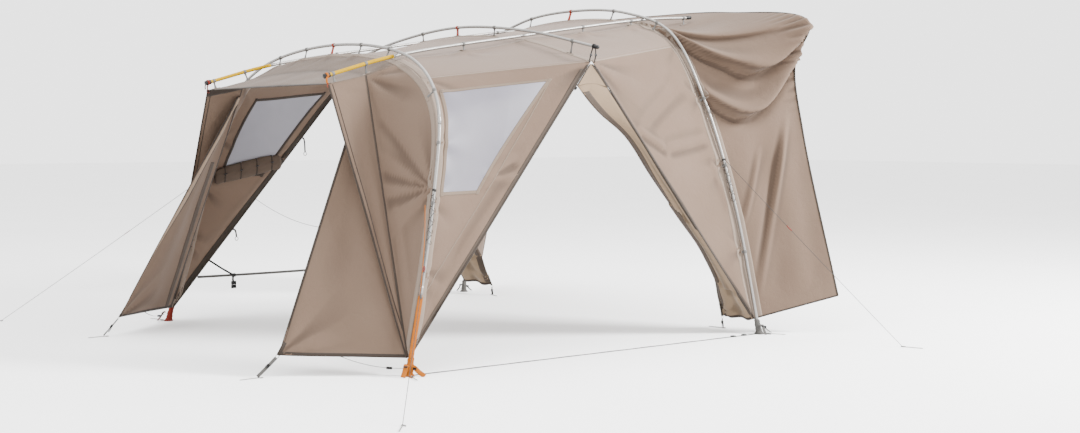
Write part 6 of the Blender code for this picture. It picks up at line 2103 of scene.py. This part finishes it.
places = []
for panel, track, offsets, toward in (
        ("canopyPanel", outerTrack, clipPlaces["canopy"], (0.30, 0, -1)),
        ("roofPanel", middleTrack, (-1.32, -0.45, 0.0, 0.45, 1.32), (0, 0, -1)),
        ("roofPanel", vanTrack, (-0.98, -0.5, 0.0, 0.5, 0.98), (0.35, 0, -1))):
    for offset in offsets:
        finish = "greyPlastic" if offset else "orangePlastic"
        places.append((panel, track, track.length / 2 + offset, toward, finish))
hangClips("roofClips", places)
for name, side in bothSides.items():
    ridge = ridgeTracks[name]
    outer = [("WindowWall", outerTrack, upStop(outerTrack, side, up), (-0.35, -side, 0))
             for up in clipPlaces["outer"]]
    inner = [("VanWall", vanTrack, upStop(vanTrack, side, up), (0.35, -side, -0.2))
             for up in clipPlaces["van"]]
    shoulder = ("Shoulder", outerTrack, upStop(outerTrack, side, 1.73), (0.30, -side, -0.8))
    tail = ("Sleeve", ridge, ridge.length - 0.065, (0, 0, -1))
    over = outStop(ridge, skinPlan["wingTop"][0])
    places = [("canopyPanel", ridge, 0.06, (0.25, 0, -1)),
              ("canopyPanel", ridge, over, (0.1, -side * 0.28, -1))]
    places += [("roofPanel", ridge, outStop(ridge, out), (0, 0, -1)) for out in clipPlaces["roof"]]
    places += [(name + word, *rest) for word, *rest in (tail, *outer, shoulder, *inner)]
    hangClips(name + "Clips", [(*spot, "greyPlastic") for spot in places])
print("clips made")

# Window covers, rolled up inside under each window



# A pin in a loop, given by its middle and half of its radii
def togglePin(middle, way, reach, radii):
    points = [middle + way * far for far in np.linspace(-reach, reach, 7)]
    return tubeMesh("pin", points, (*radii, *radii[-2::-1]), "blackPlastic", 10)


coverSpec = {
    "near": (0.11, -0.068, (6 / 11, 0.18), (6 / 11, 0.82)),
    "far": (0.135, 0.0, (0.545, 0.085), (0.602, 0.95)),
    "thick": 0.034, "toggles": (0.12, 0.38, 0.63, 0.88),
}
for name, side in bothSides.items():
    cloth, thick = panels[name + "WindowWall"], coverSpec["thick"]
    tall, hang, start, stop = coverSpec[name]
    t = np.linspace(0, 1, 60)
    row = lerp(np.array(start), np.array(stop), t)
    spine = cloth.base(row[:, 0], row[:, 1]) + vec(0, -side * (thick * 0.5 + 0.006), hang)
    along, _, _ = frames(spine)
    angles = np.linspace(0, 2 * math.pi, 40, endpoint=False)
    swell = (0.86 + 0.14 * np.sin(math.pi * t)) * np.clip(0.62 + np.minimum(t, 1 - t) * 14, 0, 1)
    verts, uvs = [], []
    for i in range(60):
        bite = 1 - 0.16 * sum(bump(t[i] - k, 0.012) for k in coverSpec["toggles"])
        for a in angles:
            crimp = 1 + 0.05 * math.sin(a * 5 + t[i] * 9) + 0.03 * math.sin(a * 11 - t[i] * 31)
            y = math.cos(a) * thick / 2 * swell[i] * bite * crimp
            z = math.sin(a) * tall / 2 * swell[i] * bite * (1 + 0.02 * math.sin(a * 7 + t[i] * 23))
            verts.append(spine[i] + (0, y, z))
            uvs.append((t[i] * 0.7, a * 0.04))
    cover = loftMesh("roll", verts, 40, "rollCanvas", uvs)
    fixNormals(cover)
    parts = [cover]
    for k in coverSpec["toggles"]:
        i = int(k * 59)
        wide, high = vec(0, thick * 0.52, 0), vec(0, 0, tall * 0.5)
        parts.append(bandMesh(spine[i], wide, high, swell[i], 0.012, 0.002, "hemCloth", 32))
        pin = spine[i] + (0, -side * (thick * 0.55 * swell[i] + 0.003), 0.006)
        parts.append(togglePin(pin, along[i], 0.016, (0.0025, 0.0038, 0.004, 0.0034)))
    dressed(joinAll(name + "WindowCover", parts))

# Toggles and loops that hold the rolled front door

toggleSpec = {"shares": (0.12, 0.31, 0.5, 0.69, 0.88), "strap": 0.016}
parts = []
for share in toggleSpec["shares"]:
    middle = canopyCloth.base(np.array([1 / 3]), np.array([share]))[0] - (0, 0, rollSpec["drop"])
    radius = rollSpec["radius"] * 0.99
    parts.append(bandMesh(middle, vec(1, 0, 0), vec(0, 0, 1), radius, toggleSpec["strap"], 0.0022, "hemCloth",
                          28))
    pin = middle + (rollSpec["radius"] + 0.004, 0, -0.004)
    parts.append(togglePin(pin, vec(0, 1, 0), 0.018, (0.003, 0.0045, 0.0048, 0.004)))
dressed(joinAll("frontDoorToggles", parts))
print("rolls and toggles made")

# Zip sliders

for name, side in bothSides.items():
    node = name + "_zip_slider"
    middle = np.mean(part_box(node), axis=0)
    way = unit(corners[name]["apex"] - corners[name]["doorOuter"])
    off = unit(vec(-1, 0, 0) + way * way[0])
    face = np.cross(way, off)
    parts = [
        blockMesh(middle, (way, off, face), (0.016, 0.011, 0.006)),
        blockMesh(middle + way * 0.009, (way, off, face), (0.007, 0.006, 0.005), bevel=0.25, segments=2),
    ]
    pull = [middle - way * back + face * up
            for back, up in ((0.004, 0.0042), (0.010, 0.0048), (0.0145, 0.003))]
    parts.append(strapMesh("pull", pull, 0.0065, 0.0014, face, "zipMetal"))
    dressed(joinAll(name + "ZipSlider", parts), node, node)

# Floor and light

stageSpec = {"floor": (0.86, 0.86, 0.86), "half": 60.0, "sky": 2.9}


def makeStage():
    s = Shade("paleFloor")
    solid = s.solid()
    tone = s.mix(s.spread(s.noise(solid, 0.6, 2.0), 0.3, 0.7), rgb(0.88, 0.88, 0.88), rgb(0.90, 0.90, 0.90))
    material = s.finish(tone, 0.85)
    bm = bmesh.new()
    bm.loops.layers.uv.new("cut")
    half = stageSpec["half"]
    bm.faces.new([bm.verts.new((x * half, y * half, -0.0005))
                  for x, y in ((-1, -1), (1, -1), (1, 1), (-1, 1))])
    mesh = bpy.data.meshes.new("floor")
    bm.to_mesh(mesh)
    bm.free()
    mesh.materials.append(material)
    floor = bpy.data.objects.new("floor", mesh)
    bpy.context.scene.collection.objects.link(floor)
    world = bpy.data.worlds.new("studio")
    world.use_nodes = True
    back = world.node_tree.nodes["Background"]
    back.inputs["Color"].default_value = rgb(1.0, 1.0, 1.0)
    back.inputs["Strength"].default_value = stageSpec["sky"]
    bpy.context.scene.world = world
    lamps = [
        ("key", (-7.0, 8.5, 7.0), (-0.8, 1.0, 1.2), 5200, 2.6),
        ("front", (9.0, 3.0, 5.0), (0.5, 0.0, 1.2), 330, 5.0),
        ("top", (0.0, 0.0, 8.0), (0.0, 0.0, 0.0), 500, 6.0),
    ]
    for name, spot, target, power, size in lamps:
        data = bpy.data.lights.new(name, "AREA")
        data.energy = power
        data.size = size
        lamp = bpy.data.objects.new(name, data)
        lamp.location = spot
        lamp.rotation_euler = (Vector(target) - Vector(spot)).to_track_quat("-Z", "Y").to_euler()
        bpy.context.scene.collection.objects.link(lamp)


makeStage()
